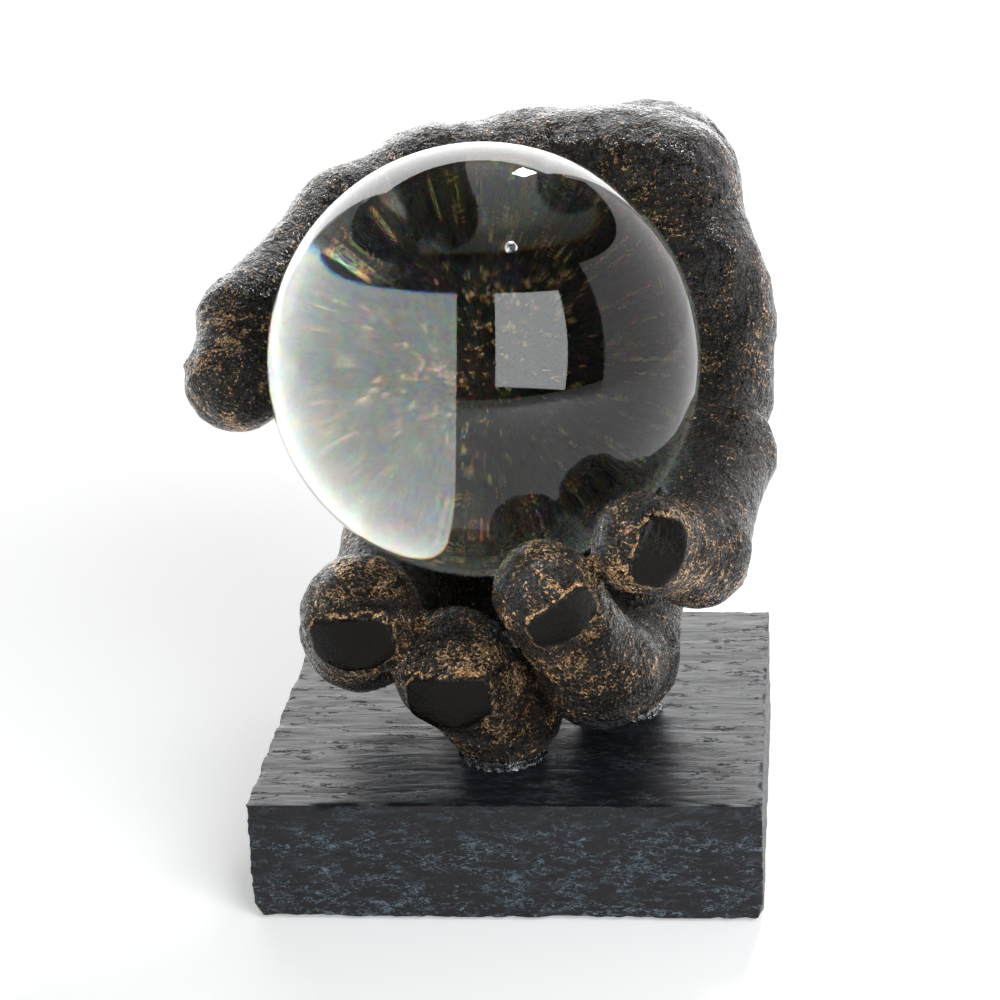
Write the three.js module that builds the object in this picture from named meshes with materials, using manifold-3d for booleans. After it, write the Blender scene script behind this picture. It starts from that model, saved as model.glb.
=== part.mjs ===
// Table sculpture: a cast hand on a slate block, cradling a clear glass ball.
// Millimetres, +Z up. X runs to the viewer's right and Y away from the viewer.
// The origin is the middle of the block's underside.
import * as THREE from 'three';
import { mergeVertices } from 'three/addons/utils/BufferGeometryUtils.js';
import Module from 'manifold-3d';

// Glass ball
const ballRadius = 50;
const ballOffsetX = -5;
const ballOffsetY = -8;
const underBall = 39.3; // from the top of the block to the lowest point of the glass
const ballFacets = 7; // how often each edge of the twenty-sided start shape is split
const seatGap = 0.3; // between the glass and the skin that carries it

// Slate block
const blockWidth = 116.8;
const blockDepth = 116.4;
const blockHeight = 28;
const blockBevel = 0.9;
const leftChip = { across: 2.4, back: 6, up: 4 }; // broken off the lower front corners
const rightChip = { across: 1.4, back: 5, up: 5.5 };

// Felt pads, let into the underside
const padRadius = 9;
const padThickness = 2;
const padProud = 1; // how much of each pad stands below the block
const padInset = 17; // from the block's sides to the middle of a pad
const padFit = 0.3;
const padSides = 24;

// Screws that hold the hand to the block from below
const screwShank = 2.5;
const screwHeadRadius = 4.75;
const screwHeadHeight = 3.2;
const screwBite = 12; // length of thread inside the casting
const screwFit = 0.3;
const screwSides = 20;
const washerRadius = 6.5;
const washerThickness = 1.2;
const washerBore = 2.9;
const counterboreRadius = 7.5;
const counterboreDepth = 12;
const crossSlotWidth = 1;
const crossSlotLength = 5.4;
const crossSlotDepth = 1.6;

// Clear adhesive that squeezed out round the two fingers that stand on the block
const glueLine = 0.3; // film left between the casting and the block
const beadSpread = 0.048 * ballRadius; // a bead grows with the finger that it lies round
const beadHeight = 0.052 * ballRadius;
const beadTaper = 0.6; // how much thinner the bead is at its top, as a share
const beadGap = 0.014 * ballRadius; // between the bead and the skin of the finger
const beadCell = 0.05 * ballRadius; // lattice spacing for the small beads

// Hand casting
const wristHalfWidth = 34.5;
const wristHalfDepth = 24.2;
const wristSquareness = 2.3; // 2 makes its section an ellipse, and more makes it squarer
const wristTilt = 21; // degrees, little-finger side up
const wristLength = 23.4; // from the heel of the hand to the sawn end
const skinCell = 4.7; // spacing of the lattice that the skin is drawn on
const fingerBlend = 3;
const palmBlend = 9;
const phalanxWaist = 0.7; // how much a finger narrows between two joints
const knuckleRise = 2.4; // how far a knuckle stands out of the back of the hand
const knuckleRound = 8;
const standingSink = 0.9; // how far the flesh is pressed flat on the block

// Half the thickness of each digit, at its knuckle and at its tip, as a share of the ball's radius,
// so that the hand fits the ball that it holds
const littleFlesh = { knuckle: 0.256, tip: 0.23 };
const ringFlesh = { knuckle: 0.306, tip: 0.236 };
const middleFlesh = { knuckle: 0.3, tip: 0.28 };
const indexFlesh = { knuckle: 0.3, tip: 0.276 };
const thumbFlesh = { knuckle: 0.356, tip: 0.252 };

// Nails
const nailCut = 2.3; // how deep a nail's flat lies below the round of the fingertip
const nailStart = 0.35; // where the flat begins, as a share of the last bone
const nailRunIn = 0.3; // how long it takes to reach its depth, as a share of the same bone
const nailWidth = 0.7; // half the width of the plate, as a share of the tip's flesh
const nailLength = 1.1; // as a share of the tip's flesh
const nailProud = 0.8; // how far the plate stands out of the flat
const nailCrown = 1.9; // how far its long edges lie below its middle
const nailRoot = 0.45; // the part of its length that is drawn in to the cuticle
const nailDepth = 4; // how far the plate reaches into the flesh
const nailSweep = 1.8; // how far the corners of the free edge lie behind its middle
const nailColumns = 6;
const nailRows = 4;

// What follows from the sizes above
const blockTop = blockHeight;
const ballCentre = new THREE.Vector3(ballOffsetX, ballOffsetY, blockTop + underBall + ballRadius);
const footLevel = blockTop + glueLine;
const beyond = 2 * (blockDepth + wristLength); // further than any piece reaches
const degrees = Math.PI / 180;

// A direction: heading goes round from the viewer's side towards the right, and height is the
// angle above the horizontal.
function facing(heading, height) {
  return new THREE.Vector3(
    Math.cos(height * degrees) * Math.sin(heading * degrees),
    -Math.cos(height * degrees) * Math.cos(heading * degrees),
    Math.sin(height * degrees),
  );
}

// A joint of the hand, seen from the middle of the glass. lift is the gap from skin to glass and
// flesh is the radius of the flesh round the joint, both as a share of the ball's radius.
function joint(heading, height, lift, flesh) {
  const reach = ballRadius * (1 + lift + flesh);
  return {
    place: facing(heading, height).multiplyScalar(reach).add(ballCentre),
    flesh: ballRadius * flesh,
  };
}

// Where a digit's joint lies: held in the air, or standing on the block
const held = (heading, height, lift) => ({ heading, height, lift, stands: false });
const standing = (heading, height, lift) => ({ heading, height, lift, stands: true });

// A digit: its joints from the knuckle to the tip, thinning evenly, the way that its nail faces, and
// how far the nail is turned from the line of the last bone. A standing joint takes its height over
// the block from its flesh.
function digit(flesh, nail, nailTurn, places) {
  const joints = places.map(({ heading, height, lift, stands }, i) => {
    const thickness = THREE.MathUtils.lerp(flesh.knuckle, flesh.tip, i / (places.length - 1));
    const result = joint(heading, height, lift, thickness);
    if (stands) {
      result.place.z = footLevel + result.flesh - standingSink;
    }
    return result;
  });
  return { joints, nail, nailTurn };
}

const littleFinger = digit(littleFlesh, facing(28, 5), 0, [
  held(125.5, -18.5, 0.02),
  held(106, -27.5, 0.01),
  held(67, -37, 0.084),
  held(43, -28.5, 0.03),
]);
const ringFinger = digit(ringFlesh, facing(31, -19), 0, [
  held(142, -36, 0.02),
  standing(99, -69, 0.32),
  held(41, -58, 0.26),
  held(20, -40, 0.01),
]);
const middleFinger = digit(middleFlesh, facing(-2, -18), -25, [
  held(175, -38, 0.02),
  standing(-176, -79, 0.22),
  standing(7, -73, 0.28),
  held(-10, -61, 0.15),
]);
const indexFinger = digit(indexFlesh, facing(-5, -14), 22, [
  held(-154, -35, 0.02),
  held(-113, -65.5, 0.108),
  held(-62, -61, 0.09),
  held(-39.5, -49.5, 0.03),
]);
const thumb = digit(thumbFlesh, facing(-134, 5), 0, [
  held(177, 20, 0.066),
  held(-164.5, 19, 0.026),
  held(-145, 15.5, 0.026),
  held(-115.5, 0.5, 0.006),
  held(-104, -8, 0.018),
]);
const fingers = [littleFinger, ringFinger, middleFinger, indexFinger];

// The heel of the hand: where the bones of the palm meet the wrist
const heelLittle = joint(146.5, 19, 0.15, 0.33);
const heelMiddle = joint(160, 21, 0.084, 0.364);
const heelIndex = joint(174, 19, 0.02, 0.344);
const wristRoot = joint(162, 9, 0.066, wristHalfDepth / ballRadius);

// The outer edge of the palm, from its heel down to its pad, and the skin between thumb and index finger
const palmEdge = joint(133.5, 5.5, 0.01, 0.295);
const palmPad = joint(129.5, -5, 0.03, 0.28);
const web = joint(-165, -6, 0.03, 0.24);
const palmRoots = [palmPad, heelLittle, heelMiddle, heelIndex];

// Distances: negative inside, positive outside
function blend(a, b, width) {
  const overlap = Math.max(width - Math.abs(a - b), 0) / width;
  return Math.min(a, b) - overlap * overlap * width / 4;
}

const along = new THREE.Vector3();
const toPoint = new THREE.Vector3();

// A limb of flesh between two joints, a little narrower between them. Where it ends in a nail, its
// far half is flattened on the side that the nail faces.
function limbDistance(point, from, to, waist, nail = null) {
  along.subVectors(to.place, from.place);
  toPoint.subVectors(point, from.place);
  const share = THREE.MathUtils.clamp(toPoint.dot(along) / along.lengthSq(), 0, 1);
  const radius = THREE.MathUtils.lerp(from.flesh, to.flesh, share) - waist * Math.sin(Math.PI * share);
  const round = toPoint.addScaledVector(along, -share).length() - radius;
  if (!nail) {
    return round;
  }
  const flatness = THREE.MathUtils.smoothstep(share, nailStart, nailStart + nailRunIn);
  return Math.max(round, toPoint.dot(nail) - radius + nailCut * flatness);
}

function digitDistance(point, { joints, nail }) {
  let distance = Infinity;
  joints.slice(1).forEach((joint, i) => {
    const nailHere = i === joints.length - 2 ? nail : null;
    const limb = limbDistance(point, joints[i], joint, phalanxWaist, nailHere);
    distance = i === 0 ? limb : blend(distance, limb, fingerBlend);
  });
  return distance;
}

// The forearm stub: an oval rod that leaves the heel of the hand straight away from the viewer.
const wristCentre = wristRoot.place;
const wristEnd = wristCentre.y + wristLength;
function wristDistance(point) {
  const dx = point.x - wristCentre.x;
  const dz = point.z - wristCentre.z;
  const wide = dx * Math.cos(wristTilt * degrees) + dz * Math.sin(wristTilt * degrees);
  const deep = dz * Math.cos(wristTilt * degrees) - dx * Math.sin(wristTilt * degrees);
  const before = Math.max(wristCentre.y - point.y, 0);
  const sum = Math.abs(wide / wristHalfWidth) ** wristSquareness
    + Math.abs(deep / wristHalfDepth) ** wristSquareness;
  const oval = sum ** (1 / wristSquareness) * wristHalfDepth;
  return Math.max(Math.hypot(oval, before) - wristHalfDepth, point.y - wristEnd - skinCell);
}

const knuckles = fingers.map(({ joints: [{ place, flesh }] }) => {
  const outward = new THREE.Vector3().subVectors(place, ballCentre).normalize();
  return outward.multiplyScalar(flesh + knuckleRise - knuckleRound).add(place);
});

function palmDistance(point) {
  let distance = blend(wristDistance(point), limbDistance(point, palmEdge, heelLittle, 0), palmBlend);
  distance = blend(distance, limbDistance(point, palmEdge, palmPad, 0), palmBlend);
  fingers.forEach((finger, i) => {
    distance = blend(distance, limbDistance(point, palmRoots[i], finger.joints[0], 0), palmBlend);
  });
  for (let i = 1; i < fingers.length; i += 1) {
    distance = blend(distance, limbDistance(point, fingers[i - 1].joints[0], fingers[i].joints[0], 0), palmBlend);
  }
  distance = blend(distance, limbDistance(point, thumb.joints[1], web, 0), palmBlend);
  distance = blend(distance, limbDistance(point, web, indexFinger.joints[0], 0), palmBlend);
  for (const knuckle of knuckles) {
    distance = blend(distance, point.distanceTo(knuckle) - knuckleRound, palmBlend);
  }
  return distance;
}

function handDistance(point) {
  let distance = palmDistance(point);
  distance = blend(distance, digitDistance(point, thumb), palmBlend);
  for (const finger of fingers) {
    distance = blend(distance, digitDistance(point, finger), fingerBlend);
  }
  return distance;
}

// The skin of a form given by its distance, as one closed mesh on a cubic lattice.
function skin(distanceTo, box, cell) {
  const counts = box.getSize(new THREE.Vector3()).divideScalar(cell).ceil().addScalar(1);
  const [nx, ny, nz] = counts.toArray();
  const at = (i, j, k) => i + nx * (j + ny * k);
  const corner = (i, j, k) => new THREE.Vector3(i, j, k).multiplyScalar(cell).add(box.min);
  const field = new Float64Array(nx * ny * nz);
  for (let k = 0; k < nz; k += 1) {
    for (let j = 0; j < ny; j += 1) {
      for (let i = 0; i < nx; i += 1) {
        field[at(i, j, k)] = distanceTo(corner(i, j, k));
      }
    }
  }
  closeCreases(field, nx, ny, nz, at);

  // One vertex in each lattice cell that the skin passes through
  const step = [1, nx, nx * ny];
  const vertexOf = new Map();
  const positions = [];
  const inside = (index) => field[index] < 0;
  for (let k = 0; k < nz - 1; k += 1) {
    for (let j = 0; j < ny - 1; j += 1) {
      for (let i = 0; i < nx - 1; i += 1) {
        const vertex = cellVertex(field, [i, j, k], step, at(i, j, k), cell);
        if (vertex) {
          vertex.add(box.min);
          settle(vertex, distanceTo, corner(i, j, k), cell);
          vertexOf.set(at(i, j, k), positions.length / 3);
          positions.push(...vertex.toArray());
        }
      }
    }
  }

  // One quadrilateral round each lattice edge that the skin crosses
  const indices = [];
  for (let k = 1; k < nz - 1; k += 1) {
    for (let j = 1; j < ny - 1; j += 1) {
      for (let i = 1; i < nx - 1; i += 1) {
        const here = at(i, j, k);
        for (let axis = 0; axis < 3; axis += 1) {
          const there = here + step[axis];
          if (inside(here) !== inside(there)) {
            const u = step[(axis + 1) % 3];
            const v = step[(axis + 2) % 3];
            const ring = [here - u - v, here - v, here, here - u].map((index) => vertexOf.get(index));
            pushQuad(indices, positions, inside(here) ? ring : ring.reverse());
          }
        }
      }
    }
  }
  const geometry = new THREE.BufferGeometry();
  geometry.setAttribute('position', new THREE.Float32BufferAttribute(positions, 3));
  geometry.setIndex(indices);
  return geometry;
}

// Fills a crease that is too narrow for the lattice, so that no edge is shared by four faces.
function closeCreases(field, nx, ny, nz, at) {
  const step = [1, nx, nx * ny];
  const filled = -1e-3;
  for (let changed = true; changed;) {
    changed = false;
    for (let k = 0; k < nz - 1; k += 1) {
      for (let j = 0; j < ny - 1; j += 1) {
        for (let i = 0; i < nx - 1; i += 1) {
          for (let axis = 0; axis < 3; axis += 1) {
            const a = at(i, j, k);
            const b = a + step[(axis + 1) % 3];
            const c = a + step[(axis + 2) % 3];
            const d = b + step[(axis + 2) % 3];
            const [pa, pb, pc, pd] = [a, b, c, d].map((index) => field[index] < 0);
            if (pa === pd && pb === pc && pa !== pb) {
              const [first, second] = pa ? [b, c] : [a, d];
              field[field[first] < field[second] ? first : second] = filled;
              changed = true;
            }
          }
        }
      }
    }
  }
}

// The mean of the points where the skin crosses a cell's twelve edges, from the lattice's corner.
function cellVertex(field, origin, step, base, cell) {
  const sum = new THREE.Vector3();
  let crossings = 0;
  for (let axis = 0; axis < 3; axis += 1) {
    const u = (axis + 1) % 3;
    const v = (axis + 2) % 3;
    for (let side = 0; side < 4; side += 1) {
      const du = side % 2;
      const dv = side >> 1;
      const start = base + du * step[u] + dv * step[v];
      const a = field[start];
      const b = field[start + step[axis]];
      if (a < 0 !== b < 0) {
        const place = [...origin];
        place[axis] += a / (a - b);
        place[u] += du;
        place[v] += dv;
        sum.add(new THREE.Vector3(...place));
        crossings += 1;
      }
    }
  }
  return crossings ? sum.multiplyScalar(cell / crossings) : null;
}

// Moves a vertex onto the form along its slope, without leaving its own cell.
function settle(vertex, distanceTo, low, cell) {
  const nudge = 0.05;
  const gentlest = 0.2; // slopes below this are creases, where a full step would overshoot
  const margin = 0.05 * cell;
  const high = low.clone().addScalar(cell - margin);
  low.addScalar(margin);
  for (let pass = 0; pass < 3; pass += 1) {
    const distance = distanceTo(vertex);
    const slope = new THREE.Vector3(
      distanceTo(vertex.clone().setX(vertex.x + nudge)) - distance,
      distanceTo(vertex.clone().setY(vertex.y + nudge)) - distance,
      distanceTo(vertex.clone().setZ(vertex.z + nudge)) - distance,
    ).divideScalar(nudge);
    vertex.addScaledVector(slope, -distance / Math.max(slope.lengthSq(), gentlest)).clamp(low, high);
  }
}

// Two triangles, parted along the shorter diagonal
function pushQuad(indices, positions, [a, b, c, d]) {
  const span = (m, n) => Math.hypot(
    positions[3 * m] - positions[3 * n],
    positions[3 * m + 1] - positions[3 * n + 1],
    positions[3 * m + 2] - positions[3 * n + 2],
  );
  if (span(a, c) < span(b, d)) {
    indices.push(a, b, c, a, c, d);
  } else {
    indices.push(a, b, d, b, c, d);
  }
}

// Joins and cuts of closed meshes
const wasm = await Module();
wasm.setup();

function toSolid(geometry) {
  const bare = geometry.clone();
  bare.deleteAttribute('normal');
  bare.deleteAttribute('uv');
  const merged = mergeVertices(bare, 1e-4);
  return new wasm.Manifold(new wasm.Mesh({
    numProp: 3,
    vertProperties: new Float32Array(merged.attributes.position.array),
    triVerts: new Uint32Array(merged.index.array),
  }));
}

function toGeometry(solid) {
  const mesh = solid.getMesh();
  const geometry = new THREE.BufferGeometry();
  geometry.setAttribute('position', new THREE.BufferAttribute(new Float32Array(mesh.vertProperties), 3));
  geometry.setIndex(new THREE.BufferAttribute(new Uint32Array(mesh.triVerts), 1));
  return geometry;
}

function box(x0, y0, z0, x1, y1, z1) {
  return new THREE.BoxGeometry(x1 - x0, y1 - y0, z1 - z0)
    .translate((x0 + x1) / 2, (y0 + y1) / 2, (z0 + z1) / 2);
}

function upright(radius, z0, z1, x, y, sides) {
  return new THREE.CylinderGeometry(radius, radius, z1 - z0, sides)
    .rotateX(Math.PI / 2)
    .translate(x, y, (z0 + z1) / 2);
}

// The screws stand under the middle of the two fingers that rest on the block.
const screwPlaces = {
  front: middleFinger.joints[2].place,
  side: ringFinger.joints[1].place,
};
const headSeat = counterboreDepth;
const headTop = headSeat - washerThickness;

// A nail: a plate bent across the finger, drawn in at its root and square at its free edge
function nailPlate({ joints, nail, nailTurn }) {
  const tip = joints.at(-1);
  const bone = new THREE.Vector3().subVectors(tip.place, joints.at(-2).place);
  const ahead = bone.projectOnPlane(nail).normalize().applyAxisAngle(nail, nailTurn * degrees);
  const across = new THREE.Vector3().crossVectors(ahead, nail);
  const level = tip.flesh - nailCut + nailProud;
  const plate = new THREE.BoxGeometry(2, 1, 1, nailColumns, nailRows, 1);
  const corners = plate.attributes.position;
  for (let i = 0; i < corners.count; i += 1) {
    const onTop = corners.getZ(i) > 0;
    const share = corners.getY(i) + 0.5;
    const drawnIn = Math.sin(Math.min(share / nailRoot, 1) * Math.PI / 2);
    const side = corners.getX(i) * THREE.MathUtils.lerp(nailRoot, 1, drawnIn);
    const height = onTop ? level - nailCrown * side * side : level - nailDepth;
    const corner = tip.place.clone()
      .addScaledVector(across, side * nailWidth * tip.flesh)
      .addScaledVector(ahead, (share - 0.5) * nailLength * tip.flesh - share * nailSweep * side * side)
      .addScaledVector(nail, height);
    corners.setXYZ(i, ...corner.toArray());
  }
  return plate;
}

function makeHand() {
  const bounds = new THREE.Box3();
  for (const { place, flesh } of [...palmRoots, ...fingers.concat(thumb).flatMap(({ joints }) => joints)]) {
    bounds.union(new THREE.Box3().setFromCenterAndSize(place, new THREE.Vector3().setScalar(2 * flesh)));
  }
  const wristReach = new THREE.Vector3(wristHalfWidth, 0, wristHalfWidth);
  bounds.expandByPoint(wristCentre.clone().sub(wristReach));
  bounds.expandByPoint(wristCentre.clone().add(wristReach).setY(wristEnd));
  bounds.expandByScalar(knuckleRise + 3 * skinCell);
  let hand = toSolid(skin(handDistance, bounds, skinCell));
  for (const finger of [...fingers, thumb]) {
    hand = hand.add(toSolid(nailPlate(finger)));
  }
  hand = hand.subtract(toSolid(new THREE.IcosahedronGeometry(ballRadius + seatGap, ballFacets)
    .translate(...ballCentre.toArray())));
  hand = hand.subtract(toSolid(box(-beyond, -beyond, -beyond, beyond, beyond, footLevel)));
  hand = hand.subtract(toSolid(box(-beyond, wristEnd, -beyond, beyond, beyond, beyond)));
  const holeRadius = screwShank + screwFit;
  const holeTop = footLevel + screwBite + screwFit;
  for (const { x, y } of Object.values(screwPlaces)) {
    hand = hand.subtract(toSolid(upright(holeRadius, 0, holeTop, x, y, screwSides)));
  }
  return toGeometry(hand);
}

// A corner broken off the block: a pointed wedge that is a little larger than what it takes away
function cornerWedge(x, y, sideX, { across, back, up }) {
  const over = 1;
  const point = (dx, dy, dz) => [x + sideX * dx, y + dy, dz];
  const corners = [
    point(-over, -over, -over),
    point(across * (1 + over / back + over / up), -over, -over),
    point(-over, back * (1 + over / across + over / up), -over),
    point(-over, -over, up * (1 + over / across + over / back)),
  ];
  const geometry = new THREE.BufferGeometry();
  geometry.setAttribute('position', new THREE.Float32BufferAttribute(corners.flat(), 3));
  const faces = [0, 2, 1, 0, 1, 3, 0, 3, 2, 1, 2, 3];
  geometry.setIndex(sideX > 0 ? faces : faces.reverse());
  return geometry;
}

const padPlaces = {
  front_left: [-1, -1],
  front_right: [1, -1],
  back_left: [-1, 1],
  back_right: [1, 1],
};
const padTop = padThickness - padProud;
const padX = blockWidth / 2 - padInset;
const padY = blockDepth / 2 - padInset;

function makeBlock() {
  const halfWidth = blockWidth / 2;
  const halfDepth = blockDepth / 2;
  const outline = new THREE.Shape([
    new THREE.Vector2(-halfWidth, -halfDepth),
    new THREE.Vector2(halfWidth, -halfDepth),
    new THREE.Vector2(halfWidth, halfDepth),
    new THREE.Vector2(-halfWidth, halfDepth),
  ]);
  const slab = new THREE.ExtrudeGeometry(outline, {
    depth: blockHeight - 2 * blockBevel,
    bevelEnabled: true,
    bevelThickness: blockBevel,
    bevelSize: blockBevel,
    bevelOffset: -blockBevel,
    bevelSegments: 2,
  });
  let block = toSolid(slab.translate(0, 0, blockBevel));
  block = block.subtract(toSolid(cornerWedge(-halfWidth, -halfDepth, 1, leftChip)));
  block = block.subtract(toSolid(cornerWedge(halfWidth, -halfDepth, -1, rightChip)));
  for (const [sideX, sideY] of Object.values(padPlaces)) {
    block = block.subtract(toSolid(
      upright(padRadius + padFit, -padProud, padTop, sideX * padX, sideY * padY, padSides),
    ));
  }
  for (const { x, y } of Object.values(screwPlaces)) {
    block = block.subtract(toSolid(upright(counterboreRadius, -counterboreDepth, headSeat, x, y, padSides)));
    block = block.subtract(toSolid(upright(screwShank + screwFit, 0, beyond, x, y, screwSides)));
  }
  return toGeometry(block);
}

// A screw stands head down: a domed head, a plain shank and a point.
function makeScrew({ x, y }) {
  const tip = footLevel + screwBite;
  const head = headTop - screwHeadHeight;
  const dome = new THREE.EllipseCurve(0, headTop, screwHeadRadius, screwHeadHeight, -Math.PI / 2, 0);
  const profile = [
    ...dome.getPoints(4),
    new THREE.Vector2(screwShank, headTop),
    new THREE.Vector2(screwShank, tip - screwShank),
    new THREE.Vector2(0, tip),
  ];
  let screw = toSolid(new THREE.LatheGeometry(profile, screwSides).rotateX(Math.PI / 2));
  const half = crossSlotWidth / 2;
  const reach = crossSlotLength / 2;
  const slotTop = head + crossSlotDepth;
  screw = screw.subtract(toSolid(box(-half, -reach, 0, half, reach, slotTop)));
  screw = screw.subtract(toSolid(box(-reach, -half, 0, reach, half, slotTop)));
  return toGeometry(screw).translate(x, y, 0);
}

function makeWasher({ x, y }) {
  const disc = toSolid(upright(washerRadius, headTop, headSeat, x, y, padSides));
  return toGeometry(disc.subtract(toSolid(upright(washerBore, 0, blockTop, x, y, screwSides))));
}

// Adhesive: what lies within a short way of a finger's skin, thinning out above the block
function makeBead(finger) {
  const bottom = blockTop - beadCell;
  const beadDistance = (point) => {
    const rise = Math.max((point.z - blockTop) / beadHeight, 0);
    return Math.max(
      beadGap - handDistance(point),
      digitDistance(point, finger) - beadSpread * (1 - beadTaper * rise),
      point.z - blockTop - beadHeight,
      bottom - point.z,
    );
  };
  const bounds = new THREE.Box3();
  for (const { place, flesh } of finger.joints.slice(1, 3)) {
    const half = flesh + beadSpread;
    bounds.expandByPoint(new THREE.Vector3(place.x - half, place.y - half, bottom));
    bounds.expandByPoint(new THREE.Vector3(place.x + half, place.y + half, blockTop + beadHeight));
  }
  bounds.expandByScalar(2 * beadCell);
  const bead = toSolid(skin(beadDistance, bounds, beadCell));
  return toGeometry(bead.subtract(toSolid(box(-beyond, -beyond, -beyond, beyond, beyond, blockTop))));
}

const group = new THREE.Group();
function addPiece(name, geometry, color, roughness, metalness) {
  const material = new THREE.MeshStandardMaterial({ color, roughness, metalness });
  const mesh = new THREE.Mesh(geometry, material);
  mesh.name = name;
  group.add(mesh);
}

addPiece('hand_casting', makeHand(), 0x241a12, 0.35, 0.7);
addPiece('glass_ball', new THREE.IcosahedronGeometry(ballRadius, ballFacets)
  .translate(...ballCentre.toArray()), 0xdfe8e6, 0.02, 0);
addPiece('base_block', makeBlock(), 0x2d2a30, 0.7, 0);
addPiece('adhesive_bead_middle', makeBead(middleFinger), 0xb9c2c8, 0.15, 0);
addPiece('adhesive_bead_ring', makeBead(ringFinger), 0xb9c2c8, 0.15, 0);
for (const [name, place] of Object.entries(screwPlaces)) {
  addPiece(`fixing_screw_${name}`, makeScrew(place), 0x9a9a98, 0.4, 1);
  addPiece(`screw_washer_${name}`, makeWasher(place), 0xa8a8a4, 0.4, 1);
}
for (const [name, [sideX, sideY]] of Object.entries(padPlaces)) {
  const pad = upright(padRadius, -padProud, padTop, sideX * padX, sideY * padY, padSides);
  addPiece(`felt_pad_${name}`, pad, 0x1c1c1e, 0.95, 0);
}

export default group;
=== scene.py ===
"""A cast bronze hand that holds a glass ball on a slate block, as an add-on run as a script."""
import math

import bmesh
import bpy
import numpy as np
from bpy.props import FloatProperty, FloatVectorProperty, IntProperty, PointerProperty
from mathutils import Matrix, Vector, noise


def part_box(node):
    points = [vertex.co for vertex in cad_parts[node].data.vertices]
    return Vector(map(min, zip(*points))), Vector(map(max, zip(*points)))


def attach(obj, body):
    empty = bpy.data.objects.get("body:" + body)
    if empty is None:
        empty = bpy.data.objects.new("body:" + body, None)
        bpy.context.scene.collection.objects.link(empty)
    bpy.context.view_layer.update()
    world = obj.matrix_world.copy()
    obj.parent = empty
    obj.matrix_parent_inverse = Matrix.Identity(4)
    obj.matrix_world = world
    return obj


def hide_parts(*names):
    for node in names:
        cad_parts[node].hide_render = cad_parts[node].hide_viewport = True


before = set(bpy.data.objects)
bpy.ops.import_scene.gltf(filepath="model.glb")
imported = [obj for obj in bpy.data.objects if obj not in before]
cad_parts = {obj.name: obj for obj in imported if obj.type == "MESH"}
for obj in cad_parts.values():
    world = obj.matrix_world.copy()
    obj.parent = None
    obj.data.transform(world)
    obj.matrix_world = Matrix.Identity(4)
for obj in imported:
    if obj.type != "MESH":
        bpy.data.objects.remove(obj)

bl_info = {
    "name": "Hand sculpture with a glass ball",
    "version": (1, 0, 0),
    "blender": (4, 5, 0),
    "location": "View3D > Sidebar > Sculpture",
    "description": "Builds a bronze hand, the glass ball that it holds and its slate block",
    "category": "Add Mesh",
}

MM = 0.001

# Sizes and colours


class CastingSizes(bpy.types.PropertyGroup):
    """The cast hand, in millimetres."""

    cell: FloatProperty(name="Skin cell", description="Spacing of the skin's points, mm", default=1.1)
    finger_blend: FloatProperty(name="Finger blend", description="Where fingers join, mm", default=3.0)
    palm_blend: FloatProperty(name="Palm blend", description="Where the palm's parts join, mm", default=9.0)
    waist: FloatProperty(name="Bone waist", description="Narrowing between joints, mm", default=0.7)
    seat_gap: FloatProperty(name="Seat gap", description="Between the seat and the glass, mm", default=0.3)
    relief: FloatProperty(name="Skin relief", description="Height of the unevenness, mm", default=0.45)


class GlassSizes(bpy.types.PropertyGroup):
    """The glass ball."""

    rounds: IntProperty(name="Rounds", description="How often the ball's faces are divided", default=7)
    bubble: FloatProperty(name="Bubble", description="Radius of the largest bubble, mm", default=1.3)


class BlockSizes(bpy.types.PropertyGroup):
    """The slate block, in millimetres."""

    cell: FloatProperty(name="Face cell", description="Spacing of the faces' points, mm", default=1.0)
    cleft: FloatProperty(name="Cleft relief", description="Depth of the riven top, mm", default=0.2)


class Colours(bpy.types.PropertyGroup):
    """Colours of the finishes, linear."""

    patina: FloatVectorProperty(name="Patina", description="Dark brown wax over the bronze",
                                subtype="COLOR", default=(0.007, 0.0052, 0.004))
    umber: FloatVectorProperty(name="Umber", description="Brown between patina and gold",
                               subtype="COLOR", default=(0.03, 0.016, 0.008))
    gilding: FloatVectorProperty(name="Gilding", description="Dry-brushed copper gold",
                                 subtype="COLOR", default=(0.6, 0.27, 0.09))
    bright: FloatVectorProperty(name="Bright gold", description="Where the gilding is thickest",
                                subtype="COLOR", default=(1.0, 0.72, 0.4))
    slate: FloatVectorProperty(name="Slate", description="Body of the slate",
                               subtype="COLOR", default=(0.0105, 0.0095, 0.0115))
    riven: FloatVectorProperty(name="Riven slate", description="The slate's split top",
                               subtype="COLOR", default=(0.008, 0.01, 0.015))
    fleck: FloatVectorProperty(name="Fleck", description="Pale lines in the slate",
                               subtype="COLOR", default=(0.17, 0.23, 0.28))


class StageSettings(bpy.types.PropertyGroup):
    """The camera and the lamps."""

    lens: FloatProperty(name="Lens", description="Focal length, mm", default=111.6)
    front: FloatProperty(name="Front softbox", description="Radiance of the softbox in front", default=6.2)
    back: FloatProperty(name="Backdrop", description="Radiance of the screen behind", default=3.0)
    right: FloatProperty(name="Right screen", description="Radiance of the wall on the right", default=1.0)
    left: FloatProperty(name="Left screen", description="Radiance of the wall on the left", default=0.4)
    spark: FloatProperty(name="Back lamp", description="Radiance of the small lamp behind", default=60.0)
    gloom: FloatProperty(name="Gloom", description="Light of the dark studio round the screens", default=0.04)


# Where things are, from the frame, in millimetres


def box_of(node):
    """The low and the high corner of a CAD node's box, in millimetres."""
    return (np.array(corner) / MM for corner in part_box(node))


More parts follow.
